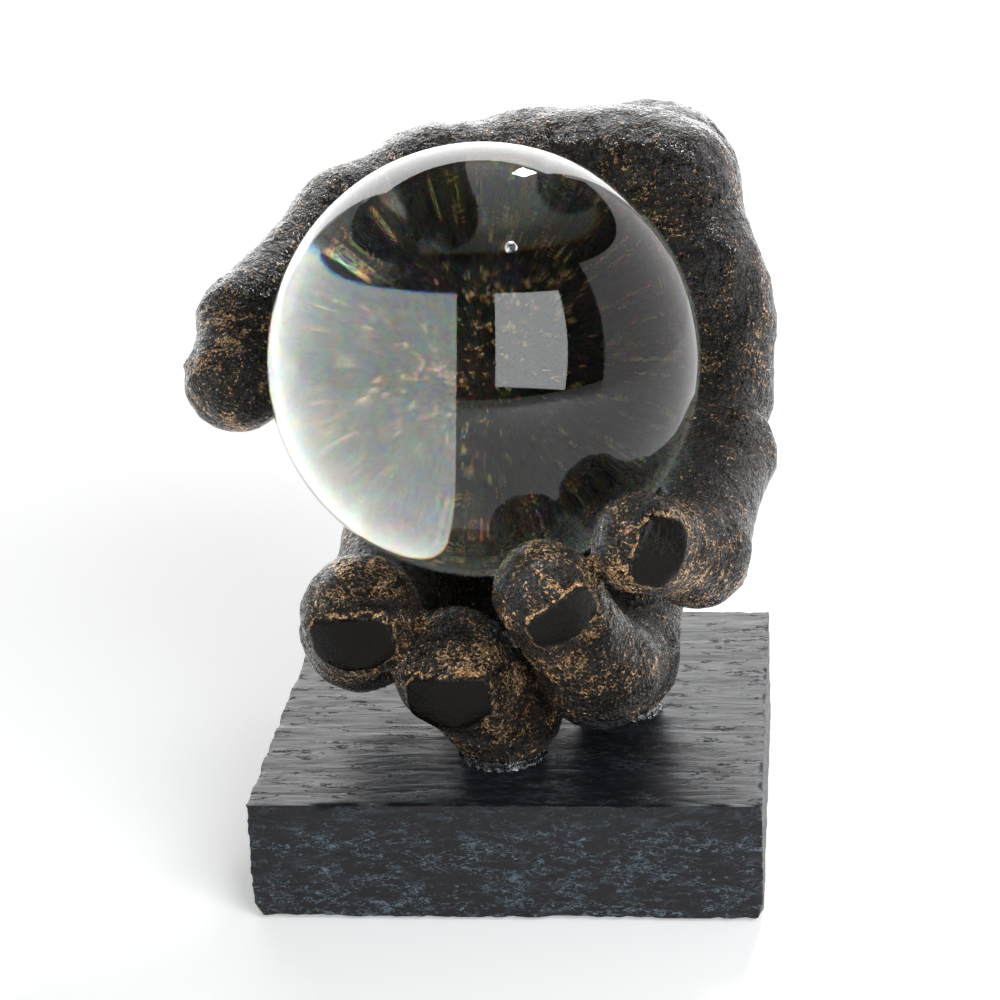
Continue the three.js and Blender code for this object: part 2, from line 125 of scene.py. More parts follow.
GLASS_LOW, GLASS_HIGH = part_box("glass_ball")
BLOCK_LOW, BLOCK_HIGH = box_of("base_block")
HAND_LOW, HAND_HIGH = box_of("hand_casting")
CENTRE = np.array((GLASS_LOW + GLASS_HIGH) / 2) / MM
RADIUS = (GLASS_HIGH.z - GLASS_LOW.z) / 2 / MM
FOOT = HAND_LOW[2]
WRIST_END = HAND_HIGH[1]

# The wrist, the standing fingers and the knuckles
WRIST_TILT = math.radians(21)
WRIST_HALF_WIDTH = 34.5
WRIST_HALF_DEPTH = 24.2
WRIST_SQUARENESS = 2.3
STANDING_SINK = 0.9
KNUCKLE_RISE = 2.4
KNUCKLE_ROUND = 8.0

# Nails: start, run in, width, length and root are shares of the limb or the tip
NAIL_CUT = 2.3
NAIL_START = 0.35
NAIL_RUN_IN = 0.3
NAIL_PROUD = 0.8
NAIL_CROWN = 1.9
NAIL_WIDTH = 0.7
NAIL_LENGTH = 1.1
NAIL_ROOT = 0.45
NAIL_SWEEP = 1.8
NAIL_GROOVE = 0.3

# Creases, and how many fine cells a rough one of the lattice has
CREASE_STEP = 2.6
WRIST_CREASE = 2.5
RING_STEP = 2.2
LATTICE_STEP = 4

# Finishes
GLASS_INDEX = 1.5
SHADOW_CLEAR = 0.25
BRONZE_BUMP = 3.4 * MM
SLATE_BUMP = 0.6 * MM

# The block's broken corners, pockets and bores
LEFT_CHIP = (2.4, 6.0, 4.0)
RIGHT_CHIP = (1.4, 5.0, 5.5)
POCKET_GAP = 0.3
BORE_RADIUS = 7.5
BORE_TOP = 12.0
CLEAR_OF_BLOCK = 40.0

# Adhesive
BEAD_CELL = 0.45
BEAD_SPREAD = 1.35
HAND_GAP = 0.05
DROP_RISE = 0.45
DROP_REACH = 1.5

# Screws, washers and pads
THREAD_PITCH = 1.6
THREAD_DEPTH = 0.45
THREAD_START = 3.0
HEAD_HEIGHT = 3.2
SHANK = 2.5
SCREW_SIDES = 32
RECESS_WIDTH = 1.0
RECESS_LENGTH = 5.4
RECESS_DEPTH = 3.6
WASHER_HOLE = 2.9
WASHER_SIDES = 64
PAD_SIDES = 96
FIBRE_REACH = 0.9


def facing(heading, height):
    """A direction: heading goes round from the viewer's side to the right, height is above the horizon."""
    h, e = math.radians(heading), math.radians(height)
    return np.array((math.cos(e) * math.sin(h), -math.cos(e) * math.cos(h), math.sin(e)))


class Joint:
    """A round of flesh, placed by its direction from the middle of the glass and its gap to it. Gap
    and flesh are shares of the ball's radius."""

    def __init__(self, heading, height, lift, flesh, stands=False):
        self.outward = facing(heading, height)
        self.flesh = RADIUS * flesh
        self.place = CENTRE + self.outward * RADIUS * (1 + lift + flesh)
        if stands:
            self.place[2] = FOOT + self.flesh - STANDING_SINK


class Digit:
    """The joints of a finger or the thumb, from the knuckle to the tip, and its nail."""

    def __init__(self, knuckle, tip, nail, turn, places):
        share = np.linspace(0, 1, len(places))
        self.joints = [
            Joint(*place[:3], knuckle + (tip - knuckle) * s, stands=len(place) > 3)
            for place, s in zip(places, share)
        ]
        self.nail = facing(*nail)
        last, before = self.joints[-1].place, self.joints[-2].place
        bone = last - before
        ahead = bone - self.nail * (bone @ self.nail)
        ahead /= np.linalg.norm(ahead)
        spin = Matrix.Rotation(math.radians(turn), 3, Vector(self.nail))
        self.ahead = np.array(spin @ Vector(ahead))
        self.across = np.cross(self.ahead, self.nail)


LITTLE = Digit(0.256, 0.23, (28, 5), 0, [
    (125.5, -18.5, 0.02), (106, -27.5, 0.01), (67, -37, 0.084), (43, -28.5, 0.03),
])
RING = Digit(0.306, 0.236, (31, -19), 0, [
    (142, -36, 0.02), (99, -69, 0.32, "stands"), (41, -58, 0.26), (20, -40, 0.01),
])
MIDDLE = Digit(0.3, 0.28, (-2, -18), -25, [
    (175, -38, 0.02), (-176, -79, 0.22, "stands"), (7, -73, 0.28, "stands"), (-10, -61, 0.15),
])
INDEX = Digit(0.3, 0.276, (-5, -14), 22, [
    (-154, -35, 0.02), (-113, -65.5, 0.108), (-62, -61, 0.09), (-39.5, -49.5, 0.03),
])
THUMB = Digit(0.356, 0.252, (-134, 5), 0, [
    (177, 20, 0.066), (-164.5, 19, 0.026), (-145, 15.5, 0.026), (-115.5, 0.5, 0.006), (-104, -8, 0.018),
])
FINGERS = [LITTLE, RING, MIDDLE, INDEX]
HEEL_LITTLE = Joint(146.5, 19, 0.15, 0.33)
HEEL_MIDDLE = Joint(160, 21, 0.084, 0.364)
HEEL_INDEX = Joint(174, 19, 0.02, 0.344)
WRIST = Joint(162, 9, 0.066, WRIST_HALF_DEPTH / RADIUS)
PALM_EDGE = Joint(133.5, 5.5, 0.01, 0.295)
PALM_PAD = Joint(129.5, -5, 0.03, 0.28)
WEB = Joint(-165, -6, 0.03, 0.24)
PALM_ROOTS = [PALM_PAD, HEEL_LITTLE, HEEL_MIDDLE, HEEL_INDEX]
SCREWS = [MIDDLE.joints[2].place, RING.joints[1].place]
SCREW_HOLE = 2.8
SCREW_TOP = FOOT + 12.3

# Distances: negative inside, positive outside, for many points at once


def blend(a, b, width):
    """The nearer of two distances, rounded where they are alike."""
    overlap = np.maximum(width - np.abs(a - b), 0) / width
    return np.minimum(a, b) - overlap * overlap * width / 4


def ease(value, start, end):
    """0 before start, 1 after end, smooth between."""
    t = np.clip((value - start) / (end - start), 0, 1)
    return t * t * (3 - 2 * t)


def limb(points, a, b, waist=0.0, nail=None):
    """Distance to a limb of flesh between two joints, flattened towards its end under a nail."""
    bone = (b.place - a.place).astype(points.dtype)
    to_point = points - a.place.astype(points.dtype)
    share = np.clip(to_point @ bone / (bone @ bone), 0, 1)
    radius = a.flesh + (b.flesh - a.flesh) * share - waist * np.sin(math.pi * share)
    rest = to_point - share[:, None] * bone
    distance = np.sqrt((rest * rest).sum(1)) - radius
    if nail is None:
        return distance
    flat = ease(share, NAIL_START, NAIL_START + NAIL_RUN_IN)
    return np.maximum(distance, rest @ nail.astype(points.dtype) - radius + NAIL_CUT * flat)


def digit_distance(points, digit, sizes):
    """Distance to a finger or the thumb."""
    joints = digit.joints
    distance = None
    for i in range(len(joints) - 1):
        nail = digit.nail if i == len(joints) - 2 else None
        part = limb(points, joints[i], joints[i + 1], sizes.waist, nail)
        distance = part if distance is None else blend(distance, part, sizes.finger_blend)
    return distance


def wrist_distance(points):
    """Distance to the oval stub of the wrist, which runs on past its sawn end."""
    dx, dz = points[:, 0] - WRIST.place[0], points[:, 2] - WRIST.place[2]
    c, s = math.cos(WRIST_TILT), math.sin(WRIST_TILT)
    wide, deep = dx * c + dz * s, dz * c - dx * s
    before = np.maximum(WRIST.place[1] - points[:, 1], 0)
    power = WRIST_SQUARENESS
    oval = np.abs(wide / WRIST_HALF_WIDTH) ** power + np.abs(deep / WRIST_HALF_DEPTH) ** power
    oval = oval ** (1 / power) * WRIST_HALF_DEPTH
    return np.hypot(oval, before) - WRIST_HALF_DEPTH


def hand_distance(points, sizes):
    """Distance to the whole hand, before anything is cut from it."""
    w = sizes.palm_blend
    d = blend(wrist_distance(points), limb(points, PALM_EDGE, HEEL_LITTLE), w)
    d = blend(d, limb(points, PALM_EDGE, PALM_PAD), w)
    for root, finger in zip(PALM_ROOTS, FINGERS):
        d = blend(d, limb(points, root, finger.joints[0]), w)
    for one, other in zip(FINGERS, FINGERS[1:]):
        d = blend(d, limb(points, one.joints[0], other.joints[0]), w)
    d = blend(d, limb(points, THUMB.joints[1], WEB), w)
    d = blend(d, limb(points, WEB, INDEX.joints[0]), w)
    for finger in FINGERS:
        knuckle = finger.joints[0]
        top = knuckle.place + knuckle.outward * (knuckle.flesh + KNUCKLE_RISE - KNUCKLE_ROUND)
        away = points - top.astype(points.dtype)
        d = blend(d, np.sqrt((away * away).sum(1)) - KNUCKLE_ROUND, w)
    d = blend(d, digit_distance(points, THUMB, sizes), w)
    for finger in FINGERS:
        d = blend(d, digit_distance(points, finger, sizes), sizes.finger_blend)
    return d


def casting_distance(points, sizes):
    """Distance to the casting: the hand less the seat, the foot, the sawn end and the screw holes."""
    d = hand_distance(points, sizes)
    away = points - CENTRE.astype(points.dtype)
    d = np.maximum(d, RADIUS + sizes.seat_gap - np.sqrt((away * away).sum(1)))
    d = np.maximum(d, FOOT - points[:, 2])
    d = np.maximum(d, points[:, 1] - WRIST_END)
    for place in SCREWS:
        hole = np.hypot(points[:, 0] - place[0], points[:, 1] - place[1])
        d = np.maximum(d, np.minimum(SCREW_HOLE - hole, SCREW_TOP - points[:, 2]))
    return d


def lattice(distance, low, high, cell):
    """The distance on a lattice: fine near the surface and rough elsewhere."""
    blocks = np.ceil((high - low) / cell / LATTICE_STEP).astype(int) + 1
    middles = np.indices(blocks).reshape(3, -1).T * LATTICE_STEP + (LATTICE_STEP - 1) / 2
    field = distance((middles * cell + low).astype(np.float32)).reshape(blocks)
    near = np.abs(field) < cell * LATTICE_STEP * 1.3
    for axis in range(3):
        field = np.repeat(field, LATTICE_STEP, axis)
        near = np.repeat(near, LATTICE_STEP, axis)
    where = np.argwhere(near)
    values = [distance((part * cell + low).astype(np.float32)) for part in np.array_split(where, 8)]
    field[near] = np.concatenate(values)
    return field


def skin(field, low, cell):
    """Points and quads of the field's zero level, with one point in each cell that it crosses."""
    inside = field < 0
    cells = np.array(field.shape) - 1
    sums = np.zeros((4, cells.prod()))
    quads = []
    for axis in range(3):
        u, v = (axis + 1) % 3, (axis + 2) % 3
        near, far = [slice(None)] * 3, [slice(None)] * 3
        near[axis], far[axis] = slice(None, -1), slice(1, None)
        near, far = tuple(near), tuple(far)
        edge = np.argwhere(inside[near] != inside[far])
        keep = (edge[:, u] > 0) & (edge[:, v] > 0) & (edge[:, u] < cells[u]) & (edge[:, v] < cells[v])
        edge = edge[keep]
        start = field[near][tuple(edge.T)]
        end = field[far][tuple(edge.T)]
        crossing = edge.astype(float)
        crossing[:, axis] += start / (start - end)
        corners = []
        for back_u, back_v in ((1, 1), (0, 1), (0, 0), (1, 0)):
            cell_at = edge.copy()
            cell_at[:, u] -= back_u
            cell_at[:, v] -= back_v
            number = np.ravel_multi_index(tuple(cell_at.T), cells)
            corners.append(number)
            sums[0] += np.bincount(number, minlength=sums.shape[1])
            for i in range(3):
                sums[i + 1] += np.bincount(number, crossing[:, i], minlength=sums.shape[1])
        quad = np.stack(corners, 1)
        outward = start < 0
        quads.append(np.where(outward[:, None], quad, quad[:, ::-1]))
    quads = np.concatenate(quads)
    used, quads = np.unique(quads, return_inverse=True)
    points = (sums[1:, used] / sums[0, used]).T * cell + low
    return points, quads.reshape(-1, 4)


def slope(distance, points, step=0.05):
    """The direction in which the distance grows, for each point."""
    result = np.empty_like(points)
    for axis in range(3):
        shift = np.zeros(3)
        shift[axis] = step
        result[:, axis] = distance(points + shift) - distance(points - shift)
    return result / np.maximum(np.linalg.norm(result, axis=1, keepdims=True), 1e-9)


# Meshes


def place_object(name, data):
    """Puts an object with this data into the scene."""
    obj = bpy.data.objects.new(name, data)
    bpy.context.scene.collection.objects.link(obj)
    return obj


def keep_outcome(obj):
    """Makes what a piece's modifier gives its plain mesh."""
    bpy.context.view_layer.update()
    graph = bpy.context.evaluated_depsgraph_get()
    result = bpy.data.meshes.new_from_object(obj.evaluated_get(graph))
    obj.modifiers.clear()
    obj.data = result


def turns_of(count):
    """Angles evenly round a circle."""
    return np.linspace(0, 2 * math.pi, count, endpoint=False)


def make_object(name, points, faces, sharp=None):
    """A smooth-shaded mesh object from points in millimetres."""
    mesh = bpy.data.meshes.new(name)
    mesh.from_pydata((np.asarray(points) * MM).tolist(), [], [tuple(int(i) for i in face) for face in faces])
    mesh.shade_smooth()
    if sharp:
        mesh.set_sharp_from_angle(angle=math.radians(sharp))
    mesh.update()
    return place_object(name, mesh)


def give(obj, name, values):
    """A number or a triple for each point, for the finish to read."""
    values = np.asarray(values, np.float32)
    kind = "FLOAT" if values.ndim == 1 else "FLOAT_VECTOR"
    attribute = obj.data.attributes.new(name, kind, "POINT")
    attribute.data.foreach_set("value" if values.ndim == 1 else "vector", values.ravel())


def finish_piece(obj, body, material, *nodes):
    """Gives the piece its finish, lets it ride on its body and stand for CAD nodes."""
    obj.data.materials.clear()
    obj.data.materials.append(material)
    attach(obj, body)
    if nodes:
        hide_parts(*nodes)


# Nodes and finishes


def put(tree, kind, inputs=None, **settings):
    """Adds a node; an input takes a number or another node's output."""
    node = tree.nodes.new(kind)
    for name, value in settings.items():
        setattr(node, name, value)
    for key, value in (inputs or {}).items():
        if isinstance(value, bpy.types.NodeSocket):
            tree.links.new(value, node.inputs[key])
        else:
            node.inputs[key].default_value = value
    return node


def calc(tree, operation, *values):
    """The result of a sum."""
    return put(tree, "ShaderNodeMath", dict(enumerate(values)), operation=operation).outputs[0]


def left_over(tree, share):
    """What a share leaves of the whole."""
    return calc(tree, "SUBTRACT", 1.0, share)


def gap(tree, value, other):
    """How far two numbers are apart."""
    return calc(tree, "ABSOLUTE", calc(tree, "SUBTRACT", value, other))


def stretch(tree, vector, scale):
    """A vector multiplied by three numbers."""
    node = put(tree, "ShaderNodeVectorMath", {0: vector, 1: scale}, operation="MULTIPLY")
    return node.outputs[0]


def between(tree, value, low, high, start=0.0, end=1.0):
    """start below low, end above high, smooth between."""
    node = put(tree, "ShaderNodeMapRange", {
        "Value": value, "From Min": low, "From Max": high, "To Min": start, "To Max": end,
    }, interpolation_type="SMOOTHSTEP")
    return node.outputs[0]


def cloud(tree, vector, scale, detail=3.0, rough=0.55, distortion=0.0):
    """Noise with features of about one over scale."""
    node = put(tree, "ShaderNodeTexNoise", {
        "Vector": vector, "Scale": scale, "Detail": detail, "Roughness": rough, "Distortion": distortion,
    })
    return node.outputs[0]


def cells(tree, vector, scale, feature="DISTANCE_TO_EDGE", randomness=1.0):
    """Distance to the edges or the middles of irregular cells."""
    node = put(tree, "ShaderNodeTexVoronoi", {
        "Vector": vector, "Scale": scale, "Randomness": randomness,
    }, feature=feature)
    return node.outputs[0]


def warp(tree, vector, scale, amount):
    """A vector pushed about by noise, by up to about half the amount."""
    push = put(tree, "ShaderNodeTexNoise", {"Vector": vector, "Scale": scale, "Detail": 2.0}).outputs[1]
    push = put(tree, "ShaderNodeVectorMath", {0: push, 1: (0.5, 0.5, 0.5)}, operation="SUBTRACT").outputs[0]
    push = stretch(tree, push, (amount, amount, amount))
    return put(tree, "ShaderNodeVectorMath", {0: vector, 1: push}, operation="ADD").outputs[0]


def weighed(tree, *parts):
    """The sum of weight times value over some pairs."""
    total = None
    for weight, value in parts:
        part = calc(tree, "MULTIPLY", weight, value)
        total = part if total is None else calc(tree, "ADD", total, part)
    return total


def mixed(tree, share, a, b):
    """A colour between two."""
    node = put(tree, "ShaderNodeMix", data_type="RGBA")
    for key, value in ((0, share), (6, a), (7, b)):
        if isinstance(value, bpy.types.NodeSocket):
            tree.links.new(value, node.inputs[key])
        else:
            node.inputs[key].default_value = value if key == 0 else (*value[:3], 1)
    return node.outputs[2]


def colour(values):
    """A colour with its alpha."""
    return (*values[:3], 1.0)


def new_finish(name):
    """An empty material, its tree, its output node and coordinates in millimetres."""
    material = bpy.data.materials.new(name)
    material.use_nodes = True
    tree = material.node_tree
    tree.nodes.clear()
    out = put(tree, "ShaderNodeOutputMaterial")
    where = put(tree, "ShaderNodeTexCoord").outputs["Object"]
    return material, tree, out, stretch(tree, where, (1000, 1000, 1000))


def attribute(tree, name):
    """Three numbers that each point of the mesh carries."""
    node = put(tree, "ShaderNodeAttribute", attribute_name=name)
    parts = put(tree, "ShaderNodeSeparateXYZ", {0: node.outputs["Vector"]})
    return node.outputs["Vector"], parts.outputs[0], parts.outputs[1], parts.outputs[2]


def bronze_finish(colours):
    """Dark waxed bronze: folds round the fingers, a raised net of skin and copper gold on its crests."""
    material, tree, out, where = new_finish("bronze_patina")
    grain, _, _, _ = attribute(tree, "grain")
    _, sure, _, gild = attribute(tree, "feature")
    _, plate, _, wristness = attribute(tree, "plate")
    _, across, ahead, facing_nail = attribute(tree, "nail")
    warped = warp(tree, where, 0.45, 1.6)
    crease = between(tree, gap(tree, cloud(tree, warped, 0.16, 4.0, 0.6), 0.5), 0.0, 0.05)
    folds = cloud(tree, stretch(tree, grain, (0.75, 0.17, 1.0)), 1.0, 5.0, 0.62, 0.5)
    even = cloud(tree, warped, 0.5, 5.0, 0.62)
    folds = weighed(tree, (left_over(tree, sure), even), (sure, folds))
    net = between(tree, cells(tree, warp(tree, where, 1.2, 0.7), 0.75), 0.02, 0.2, 1.0, 0.0)
    grit = cloud(tree, where, 2.4, 3.0, 0.7)
    speck = cloud(tree, where, 1.25, 4.0, 0.72, 0.4)
    swell = cloud(tree, warped, 0.13, 2.0, 0.45)
    height = weighed(
        tree, (2.0, swell), (1.0, folds), (0.34, crease), (0.2, net), (0.14, speck), (0.03, grit),
    )
    flesh = left_over(tree, calc(tree, "MULTIPLY", plate, 0.85))
    smoother = left_over(tree, calc(tree, "MULTIPLY", wristness, 0.45))
    depth = calc(tree, "MULTIPLY", flesh, smoother)
    bump = put(tree, "ShaderNodeBump", {"Strength": depth, "Distance": BRONZE_BUMP, "Height": height})

    # The nail's outline: a rounded square in shares of the fingertip's flesh
    wobble = calc(tree, "SUBTRACT", cloud(tree, where, 0.35, 3.0), 0.5)
    powers = [
        calc(tree, "POWER", calc(tree, "ABSOLUTE", calc(tree, "DIVIDE", way, half)), 3.0)
        for way, half in ((across, 0.72), (ahead, 0.56))
    ]
    rim = calc(tree, "SUBTRACT", calc(tree, "POWER", calc(tree, "ADD", *powers), 1 / 3), 1.0)
    rim = calc(tree, "ADD", rim, calc(tree, "MULTIPLY", wobble, 0.3))
    line = between(tree, calc(tree, "ABSOLUTE", rim), 0.012, 0.045, 1.0, 0.0)
    free_edge = between(tree, ahead, 0.3, 0.5, 0.35, 1.0)
    line = calc(tree, "MULTIPLY", calc(tree, "MULTIPLY", line, free_edge),
                between(tree, facing_nail, 0.2, 0.45))
    line = calc(tree, "MULTIPLY", line, between(tree, cloud(tree, where, 0.6, 2.0), 0.43, 0.52))

    # Gold lies on what stands highest, in specks and in patches
    patch = between(tree, cloud(tree, where, 0.11, 3.0), 0.34, 0.64, 0.25, 1.0)
    brushed = calc(tree, "MULTIPLY", patch, gild)
    high = weighed(tree, (0.75, folds), (0.14, net), (1.3, speck), (0.17, brushed))
    brown = between(tree, high, 1.22, 1.38)
    off_plate = between(tree, plate, 0.15, 0.5, 1.0, 0.0)
    gold = calc(tree, "MULTIPLY", between(tree, high, 1.34, 1.42), off_plate)
    gold = put(tree, "ShaderNodeClamp", {0: calc(tree, "MAXIMUM", gold, line)}).outputs[0]
    tone = mixed(tree, between(tree, cloud(tree, where, 0.07, 2.0), 0.3, 0.7),
                 colours.patina, [c * 1.9 for c in colours.patina])
    browned = calc(tree, "MULTIPLY", brown, calc(tree, "MULTIPLY", flesh, 0.85))
    tone = mixed(tree, browned, tone, colours.umber)
    tone = mixed(tree, calc(tree, "MULTIPLY", plate, 0.8), tone, [c * 0.3 for c in colours.patina])
    leaf = mixed(tree, between(tree, grit, 0.4, 0.62), colours.gilding, colours.bright)
    shader = put(tree, "ShaderNodeBsdfPrincipled", {
        "Base Color": mixed(tree, gold, tone, leaf),
        "Metallic": gold,
        "Roughness": between(tree, grit, 0.3, 0.7, 0.2, 0.34),
        "Coat Roughness": between(tree, grit, 0.3, 0.7, 0.05, 0.11),
        "Normal": bump.outputs[0],
        "Coat Normal": bump.outputs[0],
        "Coat Weight": left_over(tree, calc(tree, "MULTIPLY", plate, 0.93)),
    })
    shader.inputs["Specular IOR Level"].default_value = 0.1
    shader.inputs["Coat IOR"].default_value = 1.42
    tree.links.new(shader.outputs[0], out.inputs[0])
    return material


def slate_finish(colours):
    """Riven slate: drawn out along its length on top, with short wavy lines on its sawn sides."""
    material, tree, out, where = new_finish("slate_riven")
    normal = put(tree, "ShaderNodeSeparateXYZ", {0: put(tree, "ShaderNodeNewGeometry").outputs["Normal"]})
    top = between(tree, normal.outputs[2], 0.4, 0.8)
    upward = put(tree, "ShaderNodeSeparateXYZ", {0: where}).outputs[2]

    def lines(scale, width, level, low, high):
        """Thin broken contour lines, in patches."""
        bent = warp(tree, stretch(tree, where, scale), 1.3, 0.9)
        found = gap(tree, cloud(tree, bent, 1.0, 4.0, 0.62), level)
        place = stretch(tree, where, [0.4 * c for c in scale])
        patch = between(tree, cloud(tree, place, 1.0, 4.0, 0.7), low, high)
        return calc(tree, "MULTIPLY", between(tree, found, width * 0.3, width, 1.0, 0.0), patch)

    # The sawn sides: rows of pale lines, more of them towards the foot
    side_line = calc(tree, "MAXIMUM", lines((0.26, 0.26, 0.62), 0.024, 0.53, 0.48, 0.57),
                     lines((0.5, 0.5, 1.1), 0.026, 0.5, 0.5, 0.61))
    lower = between(tree, upward, 27.0, 17.0, 0.3, 1.0)
    haze = cloud(tree, stretch(tree, where, (0.16, 0.16, 0.5)), 1.0, 5.0, 0.7, 0.6)
    side = calc(tree, "MULTIPLY", side_line, lower)
    side = calc(tree, "ADD", side, calc(tree, "MULTIPLY", between(tree, haze, 0.52, 0.68), 0.13))
    side = calc(tree, "MULTIPLY", side, left_over(tree, top))

    # The riven top: long soft hollows, fine grain along the length and short nicks, which are coloured near
    # black as painted shade
    brushed = cloud(tree, stretch(tree, where, (0.12, 1.1, 1.1)), 1.0, 5.0, 0.6, 0.3)
    broad = cloud(tree, stretch(tree, where, (0.035, 0.17, 0.17)), 1.0, 4.0, 0.55, 0.8)
    nick_and_shade = lines((0.22, 0.6, 0.6), 0.045, 0.56, 0.52, 0.58)
    top_line = calc(tree, "MULTIPLY", lines((0.3, 0.85, 0.85), 0.03, 0.47, 0.46, 0.58), top)
    body = mixed(tree, between(tree, broad, 0.3, 0.7), colours.slate, [c * 1.3 for c in colours.slate])
    body = mixed(tree, calc(tree, "MULTIPLY", top, 0.75), body, colours.riven)
    # Painted shade: the nicks in the top are coloured near black
    body = mixed(tree, calc(tree, "MULTIPLY", nick_and_shade, top), body, (0.003, 0.003, 0.004))
    body = mixed(tree, calc(tree, "ADD", side, calc(tree, "MULTIPLY", top_line, 0.3)), body, colours.fleck)
    side_relief = calc(tree, "MULTIPLY", weighed(tree, (1.0, side_line), (0.5, haze)), left_over(tree, top))
    top_relief = weighed(tree, (0.1, brushed), (0.7, broad), (-0.9, nick_and_shade))
    relief = weighed(tree, (0.5, side_relief), (top, top_relief))
    bump = put(tree, "ShaderNodeBump", {"Strength": 0.8, "Distance": SLATE_BUMP, "Height": relief})
    shader = put(tree, "ShaderNodeBsdfPrincipled", {
        "Base Color": body,
        "Roughness": weighed(tree, (1.0, between(tree, brushed, 0.3, 0.7, 0.26, 0.42)), (0.4, nick_and_shade)),
        "Normal": bump.outputs[0],
    })
    shader.inputs["Specular IOR Level"].default_value = 0.3
    tree.links.new(shader.outputs[0], out.inputs[0])
    return material


def glass_finish(name, index, tint):
    """Clear glass that spreads the colours a little and lets lamps shine through."""
    material, tree, out, where = new_finish(name)
    streak = between(tree, cloud(tree, where, 0.05, 2.0), 0.35, 0.65, 0.97, 1.0)
    total = None
    lobes = ((-0.007, (0.66, 0.2, 0.14)), (0.0, (0.2, 0.6, 0.2)), (0.009, (0.14, 0.2, 0.66)))
    for spread, part in lobes:
        share = [a * b for a, b in zip(part, tint)]
        hue = mixed(tree, streak, (0, 0, 0), share)
        part = put(tree, "ShaderNodeBsdfRefraction", {"Color": hue, "Roughness": 0.0, "IOR": index + spread})
        part = part.outputs[0]
        total = part if total is None else put(tree, "ShaderNodeAddShader", {0: total, 1: part}).outputs[0]
    shine = put(tree, "ShaderNodeBsdfAnisotropic", {"Color": colour((1, 1, 1)), "Roughness": 0.0})
    edge = put(tree, "ShaderNodeFresnel", {"IOR": index})
    glass = put(tree, "ShaderNodeMixShader", {0: edge.outputs[0], 1: total, 2: shine.outputs[0]})
    clear = put(tree, "ShaderNodeBsdfTransparent", {"Color": colour([SHADOW_CLEAR * t for t in tint])})
    path = put(tree, "ShaderNodeLightPath")
    final = put(tree, "ShaderNodeMixShader", {
        0: path.outputs["Is Shadow Ray"], 1: glass.outputs[0], 2: clear.outputs[0],
    })
    tree.links.new(final.outputs[0], out.inputs[0])
    return material


def air_finish():
    """The wall of an air bubble inside the glass."""
    material, tree, out, where = new_finish("bubble_wall")
    rough = between(tree, cloud(tree, where, 2.0), 0.4, 0.7, 0.0, 0.03)
    shader = put(tree, "ShaderNodeBsdfGlass", {
        "Color": colour((1, 1, 1)), "Roughness": rough, "IOR": 1 / GLASS_INDEX,
    })
    tree.links.new(shader.outputs[0], out.inputs[0])
    return material


def adhesive_finish():
    """Clear set adhesive, slightly blue, with small dimples."""
    material, tree, out, where = new_finish("adhesive_clear")
    dimples = cloud(tree, where, 1.1, 3.0, 0.6)
    bump = put(tree, "ShaderNodeBump", {"Strength": 0.6, "Distance": 0.6 * MM, "Height": dimples})
    shader = put(tree, "ShaderNodeBsdfPrincipled", {
        "Base Color": mixed(tree, between(tree, dimples, 0.3, 0.7), (0.86, 0.93, 0.97), (0.93, 0.97, 1.0)),
        "Roughness": between(tree, dimples, 0.4, 0.6, 0.02, 0.06),
        "Normal": bump.outputs[0],
        "Transmission Weight": 1.0,
        "IOR": 1.47,
    })
    tree.links.new(shader.outputs[0], out.inputs[0])
    return material


def steel_finish():
    """Zinc-plated steel, dull and faintly blotched."""
    material, tree, out, where = new_finish("zinc_plate")
    blotch = cloud(tree, where, 0.6, 4.0, 0.6)
    grit = cloud(tree, where, 6.0)
    bump = put(tree, "ShaderNodeBump", {"Strength": 0.3, "Distance": 0.1 * MM, "Height": grit})
    shader = put(tree, "ShaderNodeBsdfPrincipled", {
        "Base Color": mixed(tree, blotch, (0.42, 0.43, 0.4), (0.62, 0.6, 0.52)),
        "Metallic": 1.0,
        "Roughness": between(tree, blotch, 0.3, 0.7, 0.28, 0.5),
        "Normal": bump.outputs[0],
    })
    tree.links.new(shader.outputs[0], out.inputs[0])
    return material


def felt_finish():
    """Black felt: short fibres lying every way."""
    material, tree, out, where = new_finish("felt_black")
    fibres = cloud(tree, where, 3.5, 4.0, 0.75, 1.5)
    bump = put(tree, "ShaderNodeBump", {"Strength": 1.0, "Distance": 0.3 * MM, "Height": fibres})
    shader = put(tree, "ShaderNodeBsdfPrincipled", {
        "Base Color": mixed(
            tree, between(tree, fibres, 0.35, 0.7), (0.009, 0.009, 0.01), (0.05, 0.05, 0.055),
        ),
        "Roughness": 0.95,
        "Normal": bump.outputs[0],
        "Sheen Weight": 0.4,
    })
    tree.links.new(shader.outputs[0], out.inputs[0])
    return material


# Things that repeat, by geometry nodes


def new_tree(name, sockets):
    """A node tree for a modifier, with its named inputs."""
    tree = bpy.data.node_groups.new(name, "GeometryNodeTree")
    tree.interface.new_socket("Geometry", in_out="INPUT", socket_type="NodeSocketGeometry")
    tree.interface.new_socket("Geometry", in_out="OUTPUT", socket_type="NodeSocketGeometry")
    for label, kind, value in sockets:
        socket = tree.interface.new_socket(label, in_out="INPUT", socket_type=kind)
        if value is not None:
            socket.default_value = value
    return tree, put(tree, "NodeGroupInput"), put(tree, "NodeGroupOutput")


